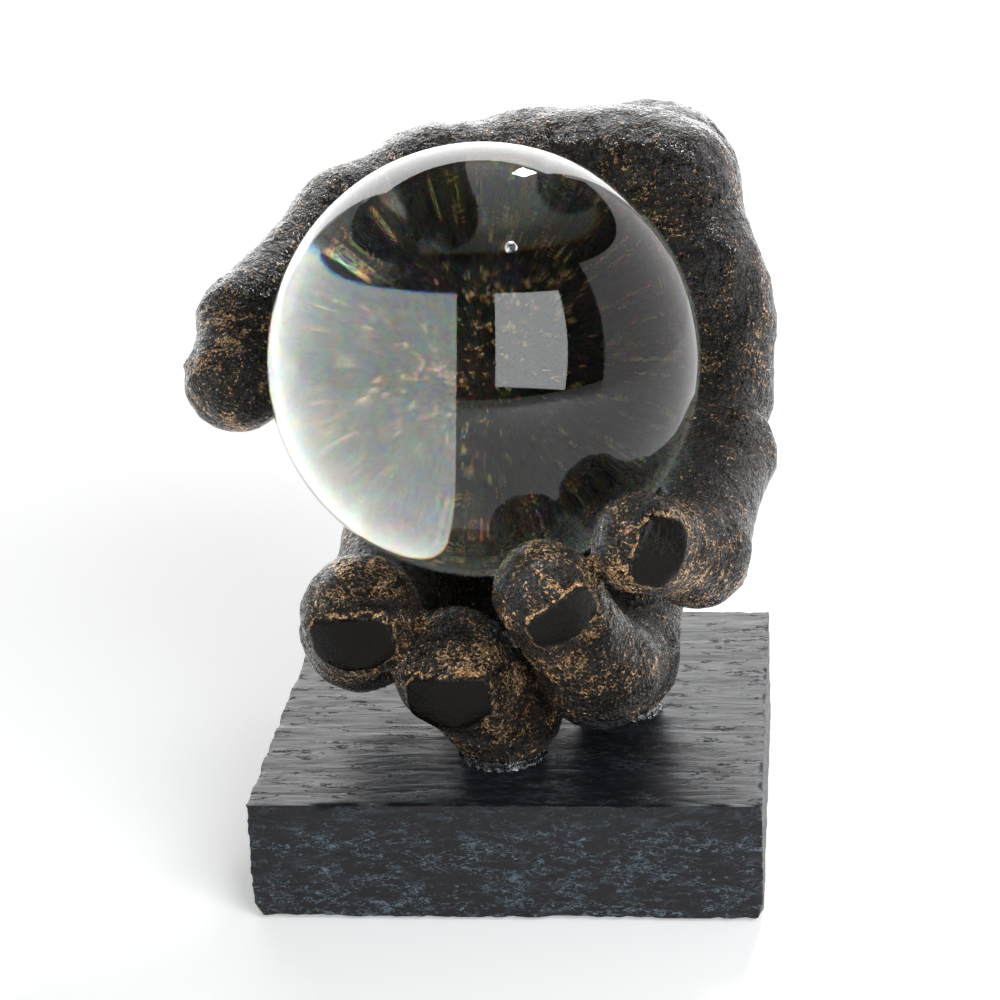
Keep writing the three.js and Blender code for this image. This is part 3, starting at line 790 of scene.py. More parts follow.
def drop_tree():
    """Drops of uneven size along the edges of a path."""
    tree, given, result = new_tree("drops_on_path", (
        ("Spacing", "NodeSocketFloat", 1.5 * MM), ("Radius", "NodeSocketFloat", 0.4 * MM),
        ("Scatter", "NodeSocketFloat", 0.4 * MM), ("Seed", "NodeSocketInt", 5),
        ("Finish", "NodeSocketMaterial", None),
    ))
    path = put(tree, "GeometryNodeMeshToCurve", {0: given.outputs["Geometry"]})
    line = put(tree, "GeometryNodeCurveToPoints", {0: path.outputs[0]}, mode="LENGTH")
    tree.links.new(given.outputs["Spacing"], line.inputs["Length"])
    low = calc(tree, "MULTIPLY", given.outputs["Scatter"], -1.0)
    shift = put(tree, "FunctionNodeRandomValue", data_type="FLOAT_VECTOR")
    flat = put(tree, "ShaderNodeCombineXYZ", {0: low, 1: low})
    wide = put(tree, "ShaderNodeCombineXYZ", {0: given.outputs["Scatter"], 1: given.outputs["Scatter"]})
    tree.links.new(flat.outputs[0], shift.inputs["Min"])
    tree.links.new(wide.outputs[0], shift.inputs["Max"])
    tree.links.new(given.outputs["Seed"], shift.inputs["Seed"])
    moved = put(tree, "GeometryNodeSetPosition", {0: line.outputs[0], "Offset": shift.outputs[0]})
    drop = put(tree, "GeometryNodeMeshIcoSphere", {"Radius": given.outputs["Radius"], "Subdivisions": 3})
    smooth = put(tree, "GeometryNodeSetShadeSmooth", {0: drop.outputs[0]})
    size = put(tree, "FunctionNodeRandomValue", data_type="FLOAT")
    size.inputs[2].default_value = 0.35
    size.inputs[3].default_value = 1.0
    tree.links.new(given.outputs["Seed"], size.inputs["Seed"])
    spread = put(tree, "GeometryNodeInstanceOnPoints", {
        "Points": moved.outputs[0], "Instance": smooth.outputs[0], "Scale": size.outputs[1],
    })
    solid = put(tree, "GeometryNodeRealizeInstances", {0: spread.outputs[0]})
    finished = put(tree, "GeometryNodeSetMaterial", {
        0: solid.outputs[0], "Material": given.outputs["Finish"],
    })
    tree.links.new(finished.outputs[0], result.inputs[0])
    return tree


def fibre_tree():
    """Short fibres that lie every way on a surface, joined to it."""
    tree, given, result = new_tree("fibres_on_felt", (
        ("Density", "NodeSocketFloat", 2.2e6), ("Length", "NodeSocketFloat", 0.9 * MM),
        ("Thickness", "NodeSocketFloat", 0.035 * MM), ("Seed", "NodeSocketInt", 3),
        ("Finish", "NodeSocketMaterial", None),
    ))
    points = put(tree, "GeometryNodeDistributePointsOnFaces", {
        "Mesh": given.outputs["Geometry"], "Density": given.outputs["Density"], "Seed": given.outputs["Seed"],
    })
    fibre = put(tree, "GeometryNodeMeshCone", {
        "Vertices": 3, "Radius Top": 0.0, "Radius Bottom": given.outputs["Thickness"],
        "Depth": given.outputs["Length"],
    })
    lay = put(tree, "FunctionNodeRandomValue", data_type="FLOAT_VECTOR")
    lay.inputs["Min"].default_value = (1.35, -0.3, 0.0)
    lay.inputs["Max"].default_value = (1.75, 0.3, 6.28)
    tree.links.new(given.outputs["Seed"], lay.inputs["Seed"])
    spread = put(tree, "GeometryNodeInstanceOnPoints", {
        "Points": points.outputs["Points"], "Instance": fibre.outputs["Mesh"], "Rotation": lay.outputs[0],
    })
    solid = put(tree, "GeometryNodeRealizeInstances", {0: spread.outputs[0]})
    both = put(tree, "GeometryNodeJoinGeometry")
    tree.links.new(given.outputs["Geometry"], both.inputs[0])
    tree.links.new(solid.outputs[0], both.inputs[0])
    finished = put(tree, "GeometryNodeSetMaterial", {0: both.outputs[0], "Material": given.outputs["Finish"]})
    tree.links.new(finished.outputs[0], result.inputs[0])
    return tree


def grow(obj, tree, values):
    """Runs a node tree on a piece and keeps the outcome as its plain mesh."""
    modifier = obj.modifiers.new(tree.name, "NODES")
    modifier.node_group = tree
    for item in tree.interface.items_tree:
        if item.item_type == "SOCKET" and item.in_out == "INPUT" and item.name in values:
            modifier[item.identifier] = values[item.name]
    keep_outcome(obj)


# The casting


def skin_map(points):
    """For each point of the skin: the way along and round its limb, how clearly it belongs to it, the
    way to the nearest joint and how near it is to a fingertip."""
    count = len(points)
    chains = [[root, *finger.joints] for root, finger in zip(PALM_ROOTS, FINGERS)] + [THUMB.joints]
    gaps = np.full((len(chains) + 1, count), 1e9)
    grains = np.zeros((len(chains) + 1, count, 3))
    joint_gaps = np.full((len(chains) + 1, count), 99.0)
    tips = np.zeros((len(chains) + 1, count))
    for number, chain in enumerate(chains):
        run = 0.0
        for i, (a, b) in enumerate(zip(chain, chain[1:])):
            bone = b.place - a.place
            length = np.linalg.norm(bone)
            axis = bone / length
            q = points - a.place
            share = np.clip(q @ axis / length, 0, 1)
            radius = a.flesh + (b.flesh - a.flesh) * share
            rest = q - (share * length)[:, None] * axis
            distance = np.linalg.norm(rest, axis=1) - radius
            back = a.outward + b.outward
            back = back - axis * (back @ axis)
            back /= np.linalg.norm(back)
            turn = np.arctan2(rest @ np.cross(axis, back), rest @ back)
            take = distance < gaps[number]
            gaps[number][take] = distance[take]
            place = np.stack((run + share * length, turn * radius, np.full(count, 37.0 * number)), 1)
            grains[number][take] = place[take]
            behind, ahead = q @ axis, length - q @ axis
            nearest = np.where(np.abs(ahead) < np.abs(behind), -ahead, behind)
            joint_gaps[number][take] = nearest[take]
            if i == len(chain) - 2:
                tips[number][take] = ease(share, 0.0, 0.6)[take]
            run += length
    gaps[-1] = wrist_distance(points) + 4 * ease(WRIST.place[1] - points[:, 1], 0, 12)
    dx, dz = points[:, 0] - WRIST.place[0], points[:, 2] - WRIST.place[2]
    grains[-1] = np.stack((points[:, 1], np.arctan2(dx, dz) * WRIST_HALF_WIDTH, np.full(count, 400.0)), 1)
    order = np.argsort(gaps, axis=0)
    each = np.arange(count)
    sure = ease(gaps[order[1], each] - gaps[order[0], each], 0.0, 5.0)
    nearest = order[0]
    return grains[nearest, each], sure, joint_gaps[nearest, each], tips[nearest, each]


def nail_relief(points, digit):
    """Moves the points under a nail out to its plate. Gives the moved points and which belong to it."""
    tip = digit.joints[-1]
    q = points - tip.place
    half = NAIL_WIDTH * tip.flesh
    length = NAIL_LENGTH * tip.flesh
    level = tip.flesh - NAIL_CUT + NAIL_PROUD
    u = q @ digit.across / half
    share = (q @ digit.ahead + np.clip(u, -1, 1) ** 2 * NAIL_SWEEP) / length + 0.5
    w = q @ digit.nail
    drawn = np.sin(np.clip(share / NAIL_ROOT, 0, 1) * math.pi / 2)
    width = NAIL_ROOT + (1 - NAIL_ROOT) * drawn
    outside = np.maximum((np.abs(u) - width) * half, (np.abs(share - 0.5) - 0.5) * length)
    near = (w > 0.35 * tip.flesh) & (outside < 4) & (np.linalg.norm(q, axis=1) < tip.flesh * 1.6)
    plate = ease(-outside, -0.4, 0.6) * near
    wanted = level - NAIL_CROWN * np.clip(u / width, -1, 1) ** 2
    move = np.where(near, np.clip((wanted - w) * plate, -2.0, 2.5), 0.0)
    groove = NAIL_GROOVE * np.exp(-((outside - 0.6) / 0.6) ** 2) * near
    return points + (move - groove)[:, None] * digit.nail, plate


def nail_places(points):
    """For each point its place against the nearest fingertip, in shares of the tip's flesh: across
    the nail, ahead along it and outward through it."""
    best = np.full(len(points), 1.7)
    result = np.full((len(points), 3), -9.0)
    for digit in [*FINGERS, THUMB]:
        tip = digit.joints[-1]
        q = (points - tip.place) / tip.flesh
        reach = np.linalg.norm(q, axis=1)
        take = reach < best
        best[take] = reach[take]
        result[take] = np.stack((q @ digit.across, q @ digit.ahead, q @ digit.nail), 1)[take]
    return result


def skin_relief(points, sure, joint_gap, wristness):
    """How far each point of the skin stands out, in shares of the relief: crumpled skin, creases at
    the joints, the deep crease before the wrist and the rings on its stub."""
    crumple = np.array([
        noise.ridged_multi_fractal(Vector(p / 11.0), 0.9, 2.1, 4, 0.9, 1.6) * 0.55
        + noise.fractal(Vector(p / 6.0 + 40), 0.8, 2.1, 4) * 0.8 for p in points
    ])
    crumple = np.clip(crumple - np.median(crumple), -1.6, 1.6)
    waver = np.array([noise.noise(Vector(p / 9.0)) for p in points])
    rings = 0.5 + 0.5 * np.cos(2 * math.pi * (joint_gap + 1.6 * waver) / CREASE_STEP)
    creases = rings ** 3 * np.exp(-(joint_gap / 5.0) ** 2) * sure * (0.5 + waver) * (1 - wristness)
    back = points[:, 1] - WRIST.place[1] + 2.0 * waver
    deep = np.exp(-((back - WRIST_CREASE) / 1.3) ** 2) * np.clip(0.7 + 1.4 * waver, 0, 1.4)
    stub = (0.5 + 0.5 * np.cos(2 * math.pi * back / RING_STEP)) ** 2 * ease(back, 4.0, 7.0)
    return crumple - 1.1 * creases - 1.9 * deep - 0.55 * stub


def make_casting(sizes):
    """The fine skin of the hand with its nails, folds and unevenness."""
    low = HAND_LOW - 3 * sizes.cell
    high = HAND_HIGH + 3 * sizes.cell

    def distance(at):
        return casting_distance(at, sizes)

    field = lattice(distance, low, high, sizes.cell)
    points, quads = skin(field, low, sizes.cell)
    for _ in range(2):
        points -= np.clip(distance(points), -0.4, 0.4)[:, None] * slope(distance, points)
    flesh = ease(hand_distance(points, sizes), -0.5, -0.05)
    outward = slope(lambda at: hand_distance(at, sizes), points)
    grain, sure, joint_gap, tip = skin_map(points)
    wristness = ease(points[:, 1], WRIST.place[1] - 4, WRIST.place[1] + 4)
    relief = skin_relief(points, sure, joint_gap, wristness)
    points += (relief * sizes.relief * flesh)[:, None] * outward
    plate = np.zeros(len(points))
    for digit in [*FINGERS, THUMB]:
        points, under = nail_relief(points, digit)
        plate = np.maximum(plate, under)
    nail = nail_places(points)
    away = points - CENTRE
    reach = np.linalg.norm(away, axis=1, keepdims=True)
    points = CENTRE + away * np.maximum(1, (RADIUS + sizes.seat_gap) / reach)
    points = np.clip(points, HAND_LOW, HAND_HIGH)
    front = ease(-outward[:, 1], -0.6, 0.5)
    upper = ease(outward[:, 2], 0.2, 0.8) * (1 - tip)
    gild = 0.25 + 0.75 * front + 0.55 * tip - 0.5 * wristness - 0.3 * upper
    obj = make_object("hand_skin", points, quads, 60)
    give(obj, "grain", grain)
    give(obj, "feature", np.stack((sure, joint_gap, gild), 1))
    give(obj, "plate", np.stack((plate, tip, wristness), 1))
    give(obj, "nail", nail)
    return obj


class SCULPTURE_OT_casting(bpy.types.Operator):
    """Builds the cast hand"""

    bl_idname = "sculpture.casting"
    bl_label = "Cast hand"

    def execute(self, context):
        settings = context.scene.sculpture
        obj = make_casting(settings.casting)
        finish_piece(obj, "sculpture", bronze_finish(settings.colours), "hand_casting")
        return {"FINISHED"}


# The glass ball


def round_mesh(name, centre, radius, rounds):
    """A ball of nearly equal triangles, in millimetres."""
    mesh = bpy.data.meshes.new(name)
    built = bmesh.new()
    bmesh.ops.create_icosphere(built, subdivisions=rounds, radius=radius * MM)
    bmesh.ops.translate(built, verts=built.verts, vec=Vector(centre) * MM)
    built.to_mesh(mesh)
    built.free()
    mesh.shade_smooth()
    return place_object(name, mesh)


# Air in the glass: right of, above and in front of its middle, and size as a share of the largest
BUBBLES = (
    (7.4, 25.2, 12, 1), (2.8, 41, 10, 0.2), (31, 27, 10, 0.2), (7, -35, 20, 0.2), (-10, -38, 20, 0.2),
)


class SCULPTURE_OT_ball(bpy.types.Operator):
    """Builds the glass ball and the bubbles in it"""

    bl_idname = "sculpture.ball"
    bl_label = "Glass ball"

    def execute(self, context):
        sizes = context.scene.sculpture.glass
        ball = round_mesh("ball_body", CENTRE, RADIUS, sizes.rounds)
        finish_piece(ball, "ball", glass_finish("ball_glass", GLASS_INDEX, (0.97, 0.99, 0.98)), "glass_ball")
        air = air_finish()
        for i, (right, up, near, size) in enumerate(BUBBLES):
            place = CENTRE + np.array((right, -near, up))
            bubble = round_mesh(f"ball_bubble_{i + 1}", place, sizes.bubble * size, 4 if size == 1 else 2)
            finish_piece(bubble, "ball", air)
        return {"FINISHED"}


# The block


def crate(counts):
    """Points and quads of the outside of a box of cells, in steps."""
    shape = tuple(n + 1 for n in counts)
    ids = np.arange(np.prod(shape)).reshape(shape)
    quads = []
    for axis in range(3):
        for end in (0, -1):
            face = np.take(ids, end, axis=axis)
            quad = np.stack((face[:-1, :-1], face[1:, :-1], face[1:, 1:], face[:-1, 1:]), -1).reshape(-1, 4)
            quads.append(quad if (end == -1) != (axis == 1) else quad[:, ::-1])
    used, quads = np.unique(np.concatenate(quads), return_inverse=True)
    return np.stack(np.unravel_index(used, shape), 1).astype(float), quads.reshape(-1, 4)


def make_block(sizes):
    """The slate with its riven top, rough sides, worn edges and two broken corners."""
    low, high = BLOCK_LOW, BLOCK_HIGH
    size = high - low
    counts = np.round(size / sizes.cell).astype(int)
    steps, quads = crate(counts)
    share = steps / counts
    points = low + share * size
    inward = (share == 0).astype(float) - (share == 1).astype(float)
    on_top = share[:, 2] == 1
    cleft = np.array([
        noise.fractal(Vector((p[0] / 34, p[1] / 9, p[2] / 9)), 0.7, 2.1, 5) for p in points
    ])
    rough = np.array([noise.fractal(Vector((p[0] / 6, p[1] / 6, p[2] / 2.2)), 0.8, 2.1, 4) for p in points])
    depth = np.where(on_top, np.clip(0.35 + 0.8 * cleft, 0, 1) * sizes.cleft,
                     np.clip(0.3 + 0.7 * rough, 0, 1) * 0.3)
    depth[share[:, 2] == 0] = 0
    edges = (np.abs(inward) > 0).sum(1) >= 2
    depth = np.where(edges, depth + np.clip(0.2 + rough, 0, 1) * 0.5, depth)
    points += inward * depth[:, None]
    for side, (across, back, up) in ((-1, LEFT_CHIP), (1, RIGHT_CHIP)):
        dx = (high[0] - points[:, 0]) if side > 0 else (points[:, 0] - low[0])
        dy, dz = points[:, 1] - low[1], points[:, 2] - low[2]
        short = np.maximum(1 - dx / across - dy / back - dz / up, 0)
        normal = np.array((-side / across, 1 / back, 1 / up))
        points += short[:, None] * normal / (normal @ normal)
    return make_object("block_slate", points, quads, 35)


def take_away(obj, cutters):
    """Cuts closed forms out of a piece."""
    for built in cutters:
        mesh = bpy.data.meshes.new("cutter")
        built.to_mesh(mesh)
        built.free()
        cutter = place_object(mesh.name, mesh)
        modifier = obj.modifiers.new(mesh.name, "BOOLEAN")
        modifier.operation = "DIFFERENCE"
        modifier.solver = "EXACT"
        modifier.object = cutter
        keep_outcome(obj)
        bpy.data.objects.remove(cutter)


def upright(x, y, radius, top):
    """A round form for a hole that comes up from below the block, in millimetres."""
    built = bmesh.new()
    bmesh.ops.create_cone(built, cap_ends=True, segments=48, radius1=radius * MM, radius2=radius * MM,
                          depth=(top + 5) * MM)
    bmesh.ops.translate(built, verts=built.verts, vec=Vector((x, y, (top - 5) / 2)) * MM)
    return built


class SCULPTURE_OT_block(bpy.types.Operator):
    """Builds the slate block"""

    bl_idname = "sculpture.block"
    bl_label = "Slate block"

    def execute(self, context):
        settings = context.scene.sculpture
        obj = make_block(settings.block)
        holes = []
        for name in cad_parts:
            if name.startswith("felt_pad"):
                low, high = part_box(name)
                middle = (low + high) / 2 / MM
                radius = (high.x - low.x) / 2 / MM + POCKET_GAP
                holes.append(upright(middle.x, middle.y, radius, high.z / MM))
        for place in SCREWS:
            holes.append(upright(place[0], place[1], BORE_RADIUS, BORE_TOP))
            holes.append(upright(place[0], place[1], SCREW_HOLE, CLEAR_OF_BLOCK))
        take_away(obj, holes)
        finish_piece(obj, "sculpture", slate_finish(settings.colours), "base_block")
        return {"FINISHED"}


# Adhesive, fixings and feet


def make_bead(name, finger, sizes, node):
    """Adhesive squeezed out round a standing finger: lumpy, and thinning out above the block."""
    low, high = box_of(node)
    floor, top = BLOCK_HIGH[2], high[2]

    def distance(points):
        rise = np.maximum((points[:, 2] - floor) / (top - floor), 0)
        x, y = points[:, 0], points[:, 1]
        lumps = np.sin(x * 1.1 + 2 * np.sin(y * 0.7)) * np.sin(y * 1.4 + np.sin(x * 0.8))
        fine = np.sin(x * 3.1 + 1.7 * np.sin(y * 2.3)) * np.sin(y * 3.7)
        spread = (BEAD_SPREAD + 0.6 * lumps + 0.25 * fine) * np.maximum(1 - rise, 0) ** 0.8
        inner = HAND_GAP - hand_distance(points, sizes)
        d = np.maximum(inner, digit_distance(points, finger, sizes) - spread)
        return np.maximum(d, np.maximum(points[:, 2] - top, floor - points[:, 2]))

    edge = 3 * BEAD_CELL
    field = lattice(distance, low - edge, high + edge, BEAD_CELL)
    points, quads = skin(field, low - edge, BEAD_CELL)
    points = np.clip(points, low, high)
    return make_object(name, points, quads)


def foot_path(name, finger, sizes, node):
    """The closed line round a standing finger where its adhesive ends on the block."""
    low, high = box_of(node)
    height = BLOCK_HIGH[2] + DROP_RISE
    middle = np.append((low[:2] + high[:2]) / 2, height)
    turns = turns_of(180)
    ways = np.stack((np.cos(turns), np.sin(turns), np.zeros_like(turns)), 1)
    near, far = np.zeros(len(turns)), np.full(len(turns), np.linalg.norm(high - low))
    for _ in range(24):
        half = (near + far) / 2
        inside = digit_distance(middle + ways * half[:, None], finger, sizes) < DROP_REACH
        near, far = np.where(inside, half, near), np.where(inside, far, half)
    points = middle + ways * near[:, None]
    clear = hand_distance(points, sizes) > DROP_REACH - 0.2
    pairs = [(i, (i + 1) % len(points)) for i in range(len(points))]
    edges = [(one, other) for one, other in pairs if clear[one] and clear[other]]
    mesh = bpy.data.meshes.new(name)
    mesh.from_pydata((np.clip(points, low, high) * MM).tolist(), edges, [])
    return place_object(name, mesh)


class SCULPTURE_OT_adhesive(bpy.types.Operator):
    """Builds the two beads of adhesive and the drops round them"""

    bl_idname = "sculpture.adhesive"
    bl_label = "Adhesive"

    def execute(self, context):
        finish = adhesive_finish()
        sizes = context.scene.sculpture.casting
        tree = drop_tree()
        for seed, (side, finger) in enumerate((("middle", MIDDLE), ("ring", RING))):
            node = f"adhesive_bead_{side}"
            bead = make_bead(f"glue_{side}", finger, sizes, node)
            finish_piece(bead, "sculpture", finish, node)
            drops = foot_path(f"glue_drops_{side}", finger, sizes, node)
            grow(drops, tree, {"Spacing": 0.9 * MM, "Radius": 0.42 * MM, "Scatter": 0.35 * MM,
                               "Seed": 11 + seed, "Finish": finish})
            finish_piece(drops, "sculpture", finish)
        return {"FINISHED"}


def turned(name, radii, heights, place):
    """A closed piece round an upright line, with a radius for each height and each way round."""
    rows, sides = radii.shape
    turns = turns_of(sides)
    rings = np.stack((radii * np.cos(turns), radii * np.sin(turns), np.repeat(heights[:, None], sides, 1)), 2)
    points = np.concatenate(([(0, 0, heights[0])], rings.reshape(-1, 3), [(0, 0, heights[-1])]))
    points += (place[0], place[1], 0)
    faces = []
    for j in range(rows - 1):
        for i in range(sides):
            a, b = 1 + j * sides + i, 1 + j * sides + (i + 1) % sides
            faces.append((a, b, b + sides, a + sides))
    last = 1 + (rows - 1) * sides
    for i in range(sides):
        after = (i + 1) % sides
        faces.append((0, 1 + after, 1 + i))
        faces.append((last + sides, last + i, last + after))
    return make_object(name, points, faces, 40)


def make_screw(name, node):
    """A screw that stands head down, with a domed head, a cross recess and a coarse thread."""
    low, high = box_of(node)
    head_radius = (high[0] - low[0]) / 2
    place = (low + high) / 2
    seat = low[2] + HEAD_HEIGHT
    turns = turns_of(SCREW_SIDES)
    dome = np.linspace(0.06, 1, 9)
    heights = [seat - (seat - low[2]) * math.sqrt(max(1 - t * t, 0)) for t in dome]
    radii = [np.full(SCREW_SIDES, head_radius * t) for t in dome]
    heights += [seat, seat + 1.0, seat + THREAD_START]
    radii += [np.full(SCREW_SIDES, SHANK)] * 3
    for z in np.arange(seat + 3.2, high[2], 0.2):
        phase = ((z - seat) / THREAD_PITCH - turns / (2 * math.pi)) % 1
        crest = 1 - np.abs(2 * phase - 1)
        grown = min((z - seat - THREAD_START) / 1.5, 1.0)
        point = min((high[2] - z) / SHANK, 1.0)
        heights.append(z)
        radii.append((SHANK - THREAD_DEPTH * grown * (1 - crest)) * point)
    heights.append(high[2])
    radii.append(np.full(SCREW_SIDES, 0.1))
    screw = turned(name, np.array(radii), np.array(heights), place)
    recess = []
    for width, depth in ((RECESS_WIDTH, RECESS_LENGTH), (RECESS_LENGTH, RECESS_WIDTH)):
        built = bmesh.new()
        bmesh.ops.create_cube(built, size=1)
        bmesh.ops.scale(built, verts=built.verts, vec=Vector((width, depth, RECESS_DEPTH)) * MM)
        middle = Vector((place[0], place[1], low[2] - 0.2)) * MM
        bmesh.ops.translate(built, verts=built.verts, vec=middle)
        recess.append(built)
    take_away(screw, recess)
    return screw


def make_washer(name, node):
    """A pressed washer: flat, with one rounded edge and one sharp one."""
    low, high = box_of(node)
    outer, inner = (high[0] - low[0]) / 2, WASHER_HOLE
    bottom, top = low[2], high[2]
    profile = (
        (inner, bottom + 0.25), (inner + 0.25, bottom), (outer - 0.1, bottom), (outer, bottom + 0.1),
        (outer, top - 0.5), (outer - 0.15, top - 0.15), (outer - 0.5, top), (inner + 0.1, top),
        (inner, top - 0.1),
    )
    x, y = low[0] + outer, low[1] + outer
    points = [
        (x + radius * math.cos(turn), y + radius * math.sin(turn), z)
        for turn in turns_of(WASHER_SIDES) for radius, z in profile
    ]
    count = len(profile)
    faces = []
    for i in range(WASHER_SIDES):
        here, following = i * count, (i + 1) % WASHER_SIDES * count
        for j in range(count):
            after = (j + 1) % count
            faces.append((here + j, following + j, following + after, here + after))
    return make_object(name, points, faces, 40)


def make_pad(name, node, tree, finish):
    """A felt pad: a disc with a soft uneven edge, under fibres that lie every way."""
    low, high = box_of(node)
    radius = (high[0] - low[0]) / 2 - FIBRE_REACH
    place = (low + high) / 2
    bottom, top = low[2] + 0.18, high[2] - 0.22
    rows = (
        (0.3, 0), (0.6, 0), (0.85, 0), (0.965, 0), (1, 0.14),
        (1, 0.5), (1, 0.86), (0.965, 1), (0.6, 1), (0.3, 1),
    )
    heights = np.array([bottom + (top - bottom) * share for _, share in rows])

    def edge(turn, size, share):
        """The pad's radius, a little uneven."""
        at = Vector((9 * math.cos(turn) + place[0], 9 * math.sin(turn) + place[1], 4 * share))
        return radius * size * (1 + 0.014 * noise.noise(at))

    radii = np.array([[edge(turn, *row) for turn in turns_of(PAD_SIDES)] for row in rows])
    pad = turned(name, radii, heights, place)
    grow(pad, tree, {
        "Density": 2.2e6, "Length": 0.9 * MM, "Thickness": 0.035 * MM, "Seed": 3, "Finish": finish,
    })
    return pad


class SCULPTURE_OT_fixings(bpy.types.Operator):
    """Builds the screws, their washers and the felt pads"""

    bl_idname = "sculpture.fixings"
    bl_label = "Screws, washers and pads"

    def execute(self, context):
        steel, felt = steel_finish(), felt_finish()
        tree = fibre_tree()
        for node in sorted(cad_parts):
            place = node.split("_", 2)[-1]
            if node.startswith("fixing_screw"):
                piece, finish, slot = make_screw(f"screw_{place}", node), steel, "zinc_steel"
            elif node.startswith("screw_washer"):
                piece, finish, slot = make_washer(f"washer_{place}", node), steel, "zinc_steel"
            elif node.startswith("felt_pad"):
                piece, finish, slot = make_pad(f"felt_{place}", node, tree, felt), felt, "black_felt"
            else:
                continue
            finish_piece(piece, "sculpture", finish, node)
        return {"FINISHED"}


# The stage

FLOOR_HALF = 3000
FLOOR_GLOW = 0.35
CLOTH_DISTANCE = 2.2
DARK_WALLS = (
    ("dark_ceiling", (-180, 180), (44, 90)), ("dark_front", (60, 300), (-20, 44)),
    ("dark_left", (-60, -32), (-20, 44)), ("dark_right", (24, 60), (-20, 44)),
    ("dark_back", (-32, 24), (29, 44)),
)
CAMERA_PLACE = Vector((72.6, -686.3, 328.8)) * MM
CAMERA_PITCH = math.radians(-19.81)
CAMERA_YAW = math.radians(-6.34)
CAMERA_ROLL = math.radians(-2.62)
SENSOR = 36.0
DARK_CLOTH = (0.03, 0.03, 0.03)


def place_camera(settings):
    """The camera stands where the photographer's stood."""
    ahead = Vector((math.sin(CAMERA_YAW) * math.cos(CAMERA_PITCH),
                    math.cos(CAMERA_YAW) * math.cos(CAMERA_PITCH), math.sin(CAMERA_PITCH)))
    level = Vector((math.cos(CAMERA_YAW), -math.sin(CAMERA_YAW), 0))
    above = level.cross(ahead)
    right = level * math.cos(CAMERA_ROLL) + above * math.sin(CAMERA_ROLL)
    up = right.cross(ahead)
    data = bpy.data.cameras.new("camera")
    data.lens = settings.lens
    data.sensor_width = SENSOR
    data.clip_start, data.clip_end = 0.05, 20
    camera = place_object("camera", data)
    camera.matrix_world = Matrix.Translation(CAMERA_PLACE) @ Matrix((right, up, -ahead)).transposed().to_4x4()
    bpy.context.scene.camera = camera
    return ahead, right, up


def emitter(name, strength, tone):
    """A glowing screen, or a dark cloth where the strength is nothing."""
    material = bpy.data.materials.new(name)
    material.use_nodes = True
    tree = material.node_tree
    tree.nodes.clear()
    out = put(tree, "ShaderNodeOutputMaterial")
    if strength:
        light = put(tree, "ShaderNodeEmission", {"Color": colour(tone), "Strength": strength})
    else:
        light = put(tree, "ShaderNodeBsdfDiffuse", {"Color": colour(tone)})
    tree.links.new(light.outputs[0], out.inputs[0])
    return material


def wall(name, basis, azimuths, elevations, distance, strength, tone, unseen=("camera",)):
    """A lit screen, a patch of a sphere round the ball. The basis is the way ahead, the way to the right
    and the way up, azimuths go to the right of the way ahead, and angles are in degrees."""
    ahead, right, up = basis
    columns, rows = 24, 6
    points = []
    for j in range(rows + 1):
        for i in range(columns + 1):
            azimuth = math.radians(azimuths[0] + (azimuths[1] - azimuths[0]) * i / columns)
            elevation = math.radians(elevations[0] + (elevations[1] - elevations[0]) * j / rows)
            level = ahead * math.cos(azimuth) + right * math.sin(azimuth)
            towards = level * math.cos(elevation) + up * math.sin(elevation)
            points.append(CENTRE + np.array(towards) * distance / MM)
    step = columns + 1
    quads = [(j * step + i, j * step + i + 1, (j + 1) * step + i + 1, (j + 1) * step + i)
             for j in range(rows) for i in range(columns)]
    obj = make_object(name, points, quads)
    obj.data.materials.append(emitter(name, strength, tone))
    for kind in unseen:
        setattr(obj, f"visible_{kind}", False)
    return obj


def shown_directly(tree):
    """1 for what the camera, a reflection or a refraction sees, 0 for the light that falls on things."""
    path = put(tree, "ShaderNodeLightPath")
    thrown = calc(tree, "MAXIMUM", path.outputs["Is Glossy Ray"], path.outputs["Is Transmission Ray"])
    return calc(tree, "MAXIMUM", path.outputs["Is Camera Ray"], thrown)


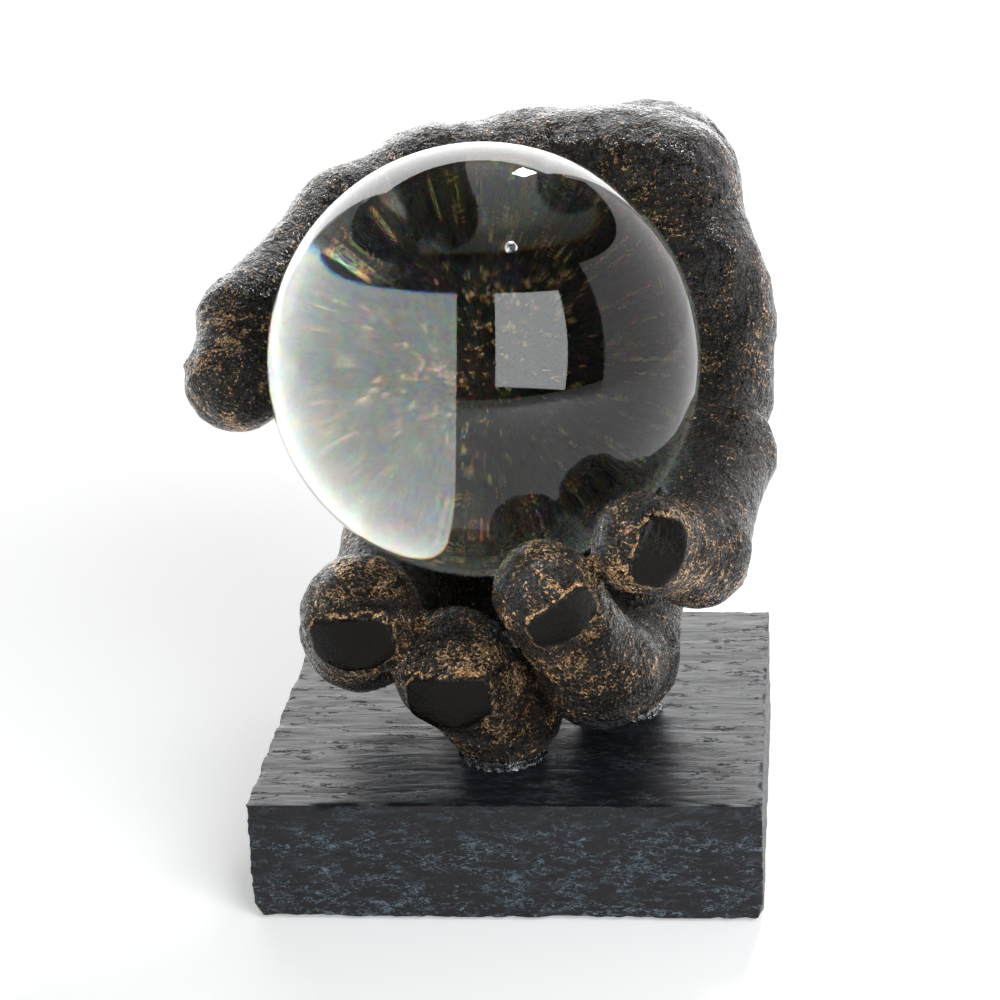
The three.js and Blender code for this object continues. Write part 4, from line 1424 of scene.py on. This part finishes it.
class SCULPTURE_OT_stage(bpy.types.Operator):
    """Sets up the floor, the backdrop, the lamps and the camera"""

    bl_idname = "sculpture.stage"
    bl_label = "Stage"

    def execute(self, context):
        settings = context.scene.sculpture.stage
        ahead, right, up = place_camera(settings)
        level = min(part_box(name)[0].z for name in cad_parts) / MM
        signs = ((-1, -1), (1, -1), (1, 1), (-1, 1))
        corners = [(FLOOR_HALF * x, FLOOR_HALF * y, level) for x, y in signs]
        floor = make_object("floor", corners, [(0, 1, 2, 3)])
        material = bpy.data.materials.new("floor_pale")
        material.use_nodes = True
        tree = material.node_tree
        shader = tree.nodes["Principled BSDF"]
        shader.inputs["Base Color"].default_value = colour((0.9, 0.9, 0.9))
        shader.inputs["Roughness"].default_value = 0.9
        glow = calc(tree, "MULTIPLY", shown_directly(tree), FLOOR_GLOW)
        tree.links.new(glow, shader.inputs["Emission Strength"])
        shader.inputs["Emission Color"].default_value = colour((1, 1, 1))
        floor.data.materials.append(material)

        world = bpy.data.worlds.new("backdrop")
        context.scene.world = world
        world.use_nodes = True
        tree = world.node_tree
        tree.nodes.clear()
        out = put(tree, "ShaderNodeOutputWorld")
        strength = between(tree, shown_directly(tree), 0.0, 1.0, settings.gloom, 1.0)
        back = put(tree, "ShaderNodeBackground", {"Color": colour((1, 1, 1)), "Strength": strength})
        tree.links.new(back.outputs[0], out.inputs[0])

        # Screens and softboxes, by their angles from the ball
        seen = (-ahead, right, up)
        level = Vector((ahead.x, ahead.y, 0)).normalized()
        behind = (level, level.cross(Vector((0, 0, 1))), Vector((0, 0, 1)))
        wall("front_softbox", seen, (6, 43), (-16, 31), 0.95, settings.front, (0.96, 0.99, 1.0))
        wall("backdrop_screen", behind, (-30, 22), (-4, 36), 1.5, settings.back, (1, 1, 1))
        wall("right_screen", seen, (64, 152), (-45, 42), 1.0, settings.right, (1.0, 0.97, 1.0))
        wall("left_screen", seen, (-140, -60), (-45, 42), 1.0, settings.left, (0.97, 1.0, 0.98))
        for name, azimuths, elevations in DARK_WALLS:
            wall(name, behind, azimuths, elevations, CLOTH_DISTANCE, 0, DARK_CLOTH)
        wall("back_lamp", behind, (15, 20.5), (39, 47), 1.4, settings.spark, (1, 1, 1),
             ("camera", "transmission"))
        context.scene.view_settings.view_transform = "Standard"
        return {"FINISHED"}


# The add-on


class SculptureSettings(bpy.types.PropertyGroup):
    """All sizes, colours and lamp levels."""

    casting: PointerProperty(type=CastingSizes, name="Casting", description="Sizes of the hand")
    glass: PointerProperty(type=GlassSizes, name="Glass", description="Sizes of the ball")
    block: PointerProperty(type=BlockSizes, name="Block", description="Sizes of the slate")
    colours: PointerProperty(type=Colours, name="Colours", description="Colours of the finishes")
    stage: PointerProperty(type=StageSettings, name="Stage", description="Camera and lamps")


BUILD_STEPS = ("casting", "ball", "block", "adhesive", "fixings", "stage")


class SCULPTURE_PT_panel(bpy.types.Panel):
    """Sizes and build steps in the sidebar"""

    bl_label = "Hand sculpture"
    bl_idname = "SCULPTURE_PT_panel"
    bl_space_type = "VIEW_3D"
    bl_region_type = "UI"
    bl_category = "Sculpture"

    def draw(self, context):
        settings = context.scene.sculpture
        for name in ("casting", "glass", "block", "colours", "stage"):
            group = getattr(settings, name)
            box = self.layout.box()
            box.label(text=name.capitalize())
            for prop in group.__annotations__:
                box.prop(group, prop)
        for step in BUILD_STEPS:
            self.layout.operator(f"sculpture.{step}")


CLASSES = (
    CastingSizes, GlassSizes, BlockSizes, Colours, StageSettings, SculptureSettings,
    SCULPTURE_OT_casting, SCULPTURE_OT_ball, SCULPTURE_OT_block, SCULPTURE_OT_adhesive,
    SCULPTURE_OT_fixings, SCULPTURE_OT_stage, SCULPTURE_PT_panel,
)


def register():
    """Adds the settings, the operators and the panel."""
    for cls in CLASSES:
        bpy.utils.register_class(cls)
    bpy.types.Scene.sculpture = PointerProperty(type=SculptureSettings)


def unregister():
    """Takes them away again."""
    del bpy.types.Scene.sculpture
    for cls in reversed(CLASSES):
        bpy.utils.unregister_class(cls)


def main():
    """Builds every piece."""
    register()
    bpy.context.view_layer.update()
    for step in BUILD_STEPS:
        getattr(bpy.ops.sculpture, step)()


if __name__ == "__main__":
    main()
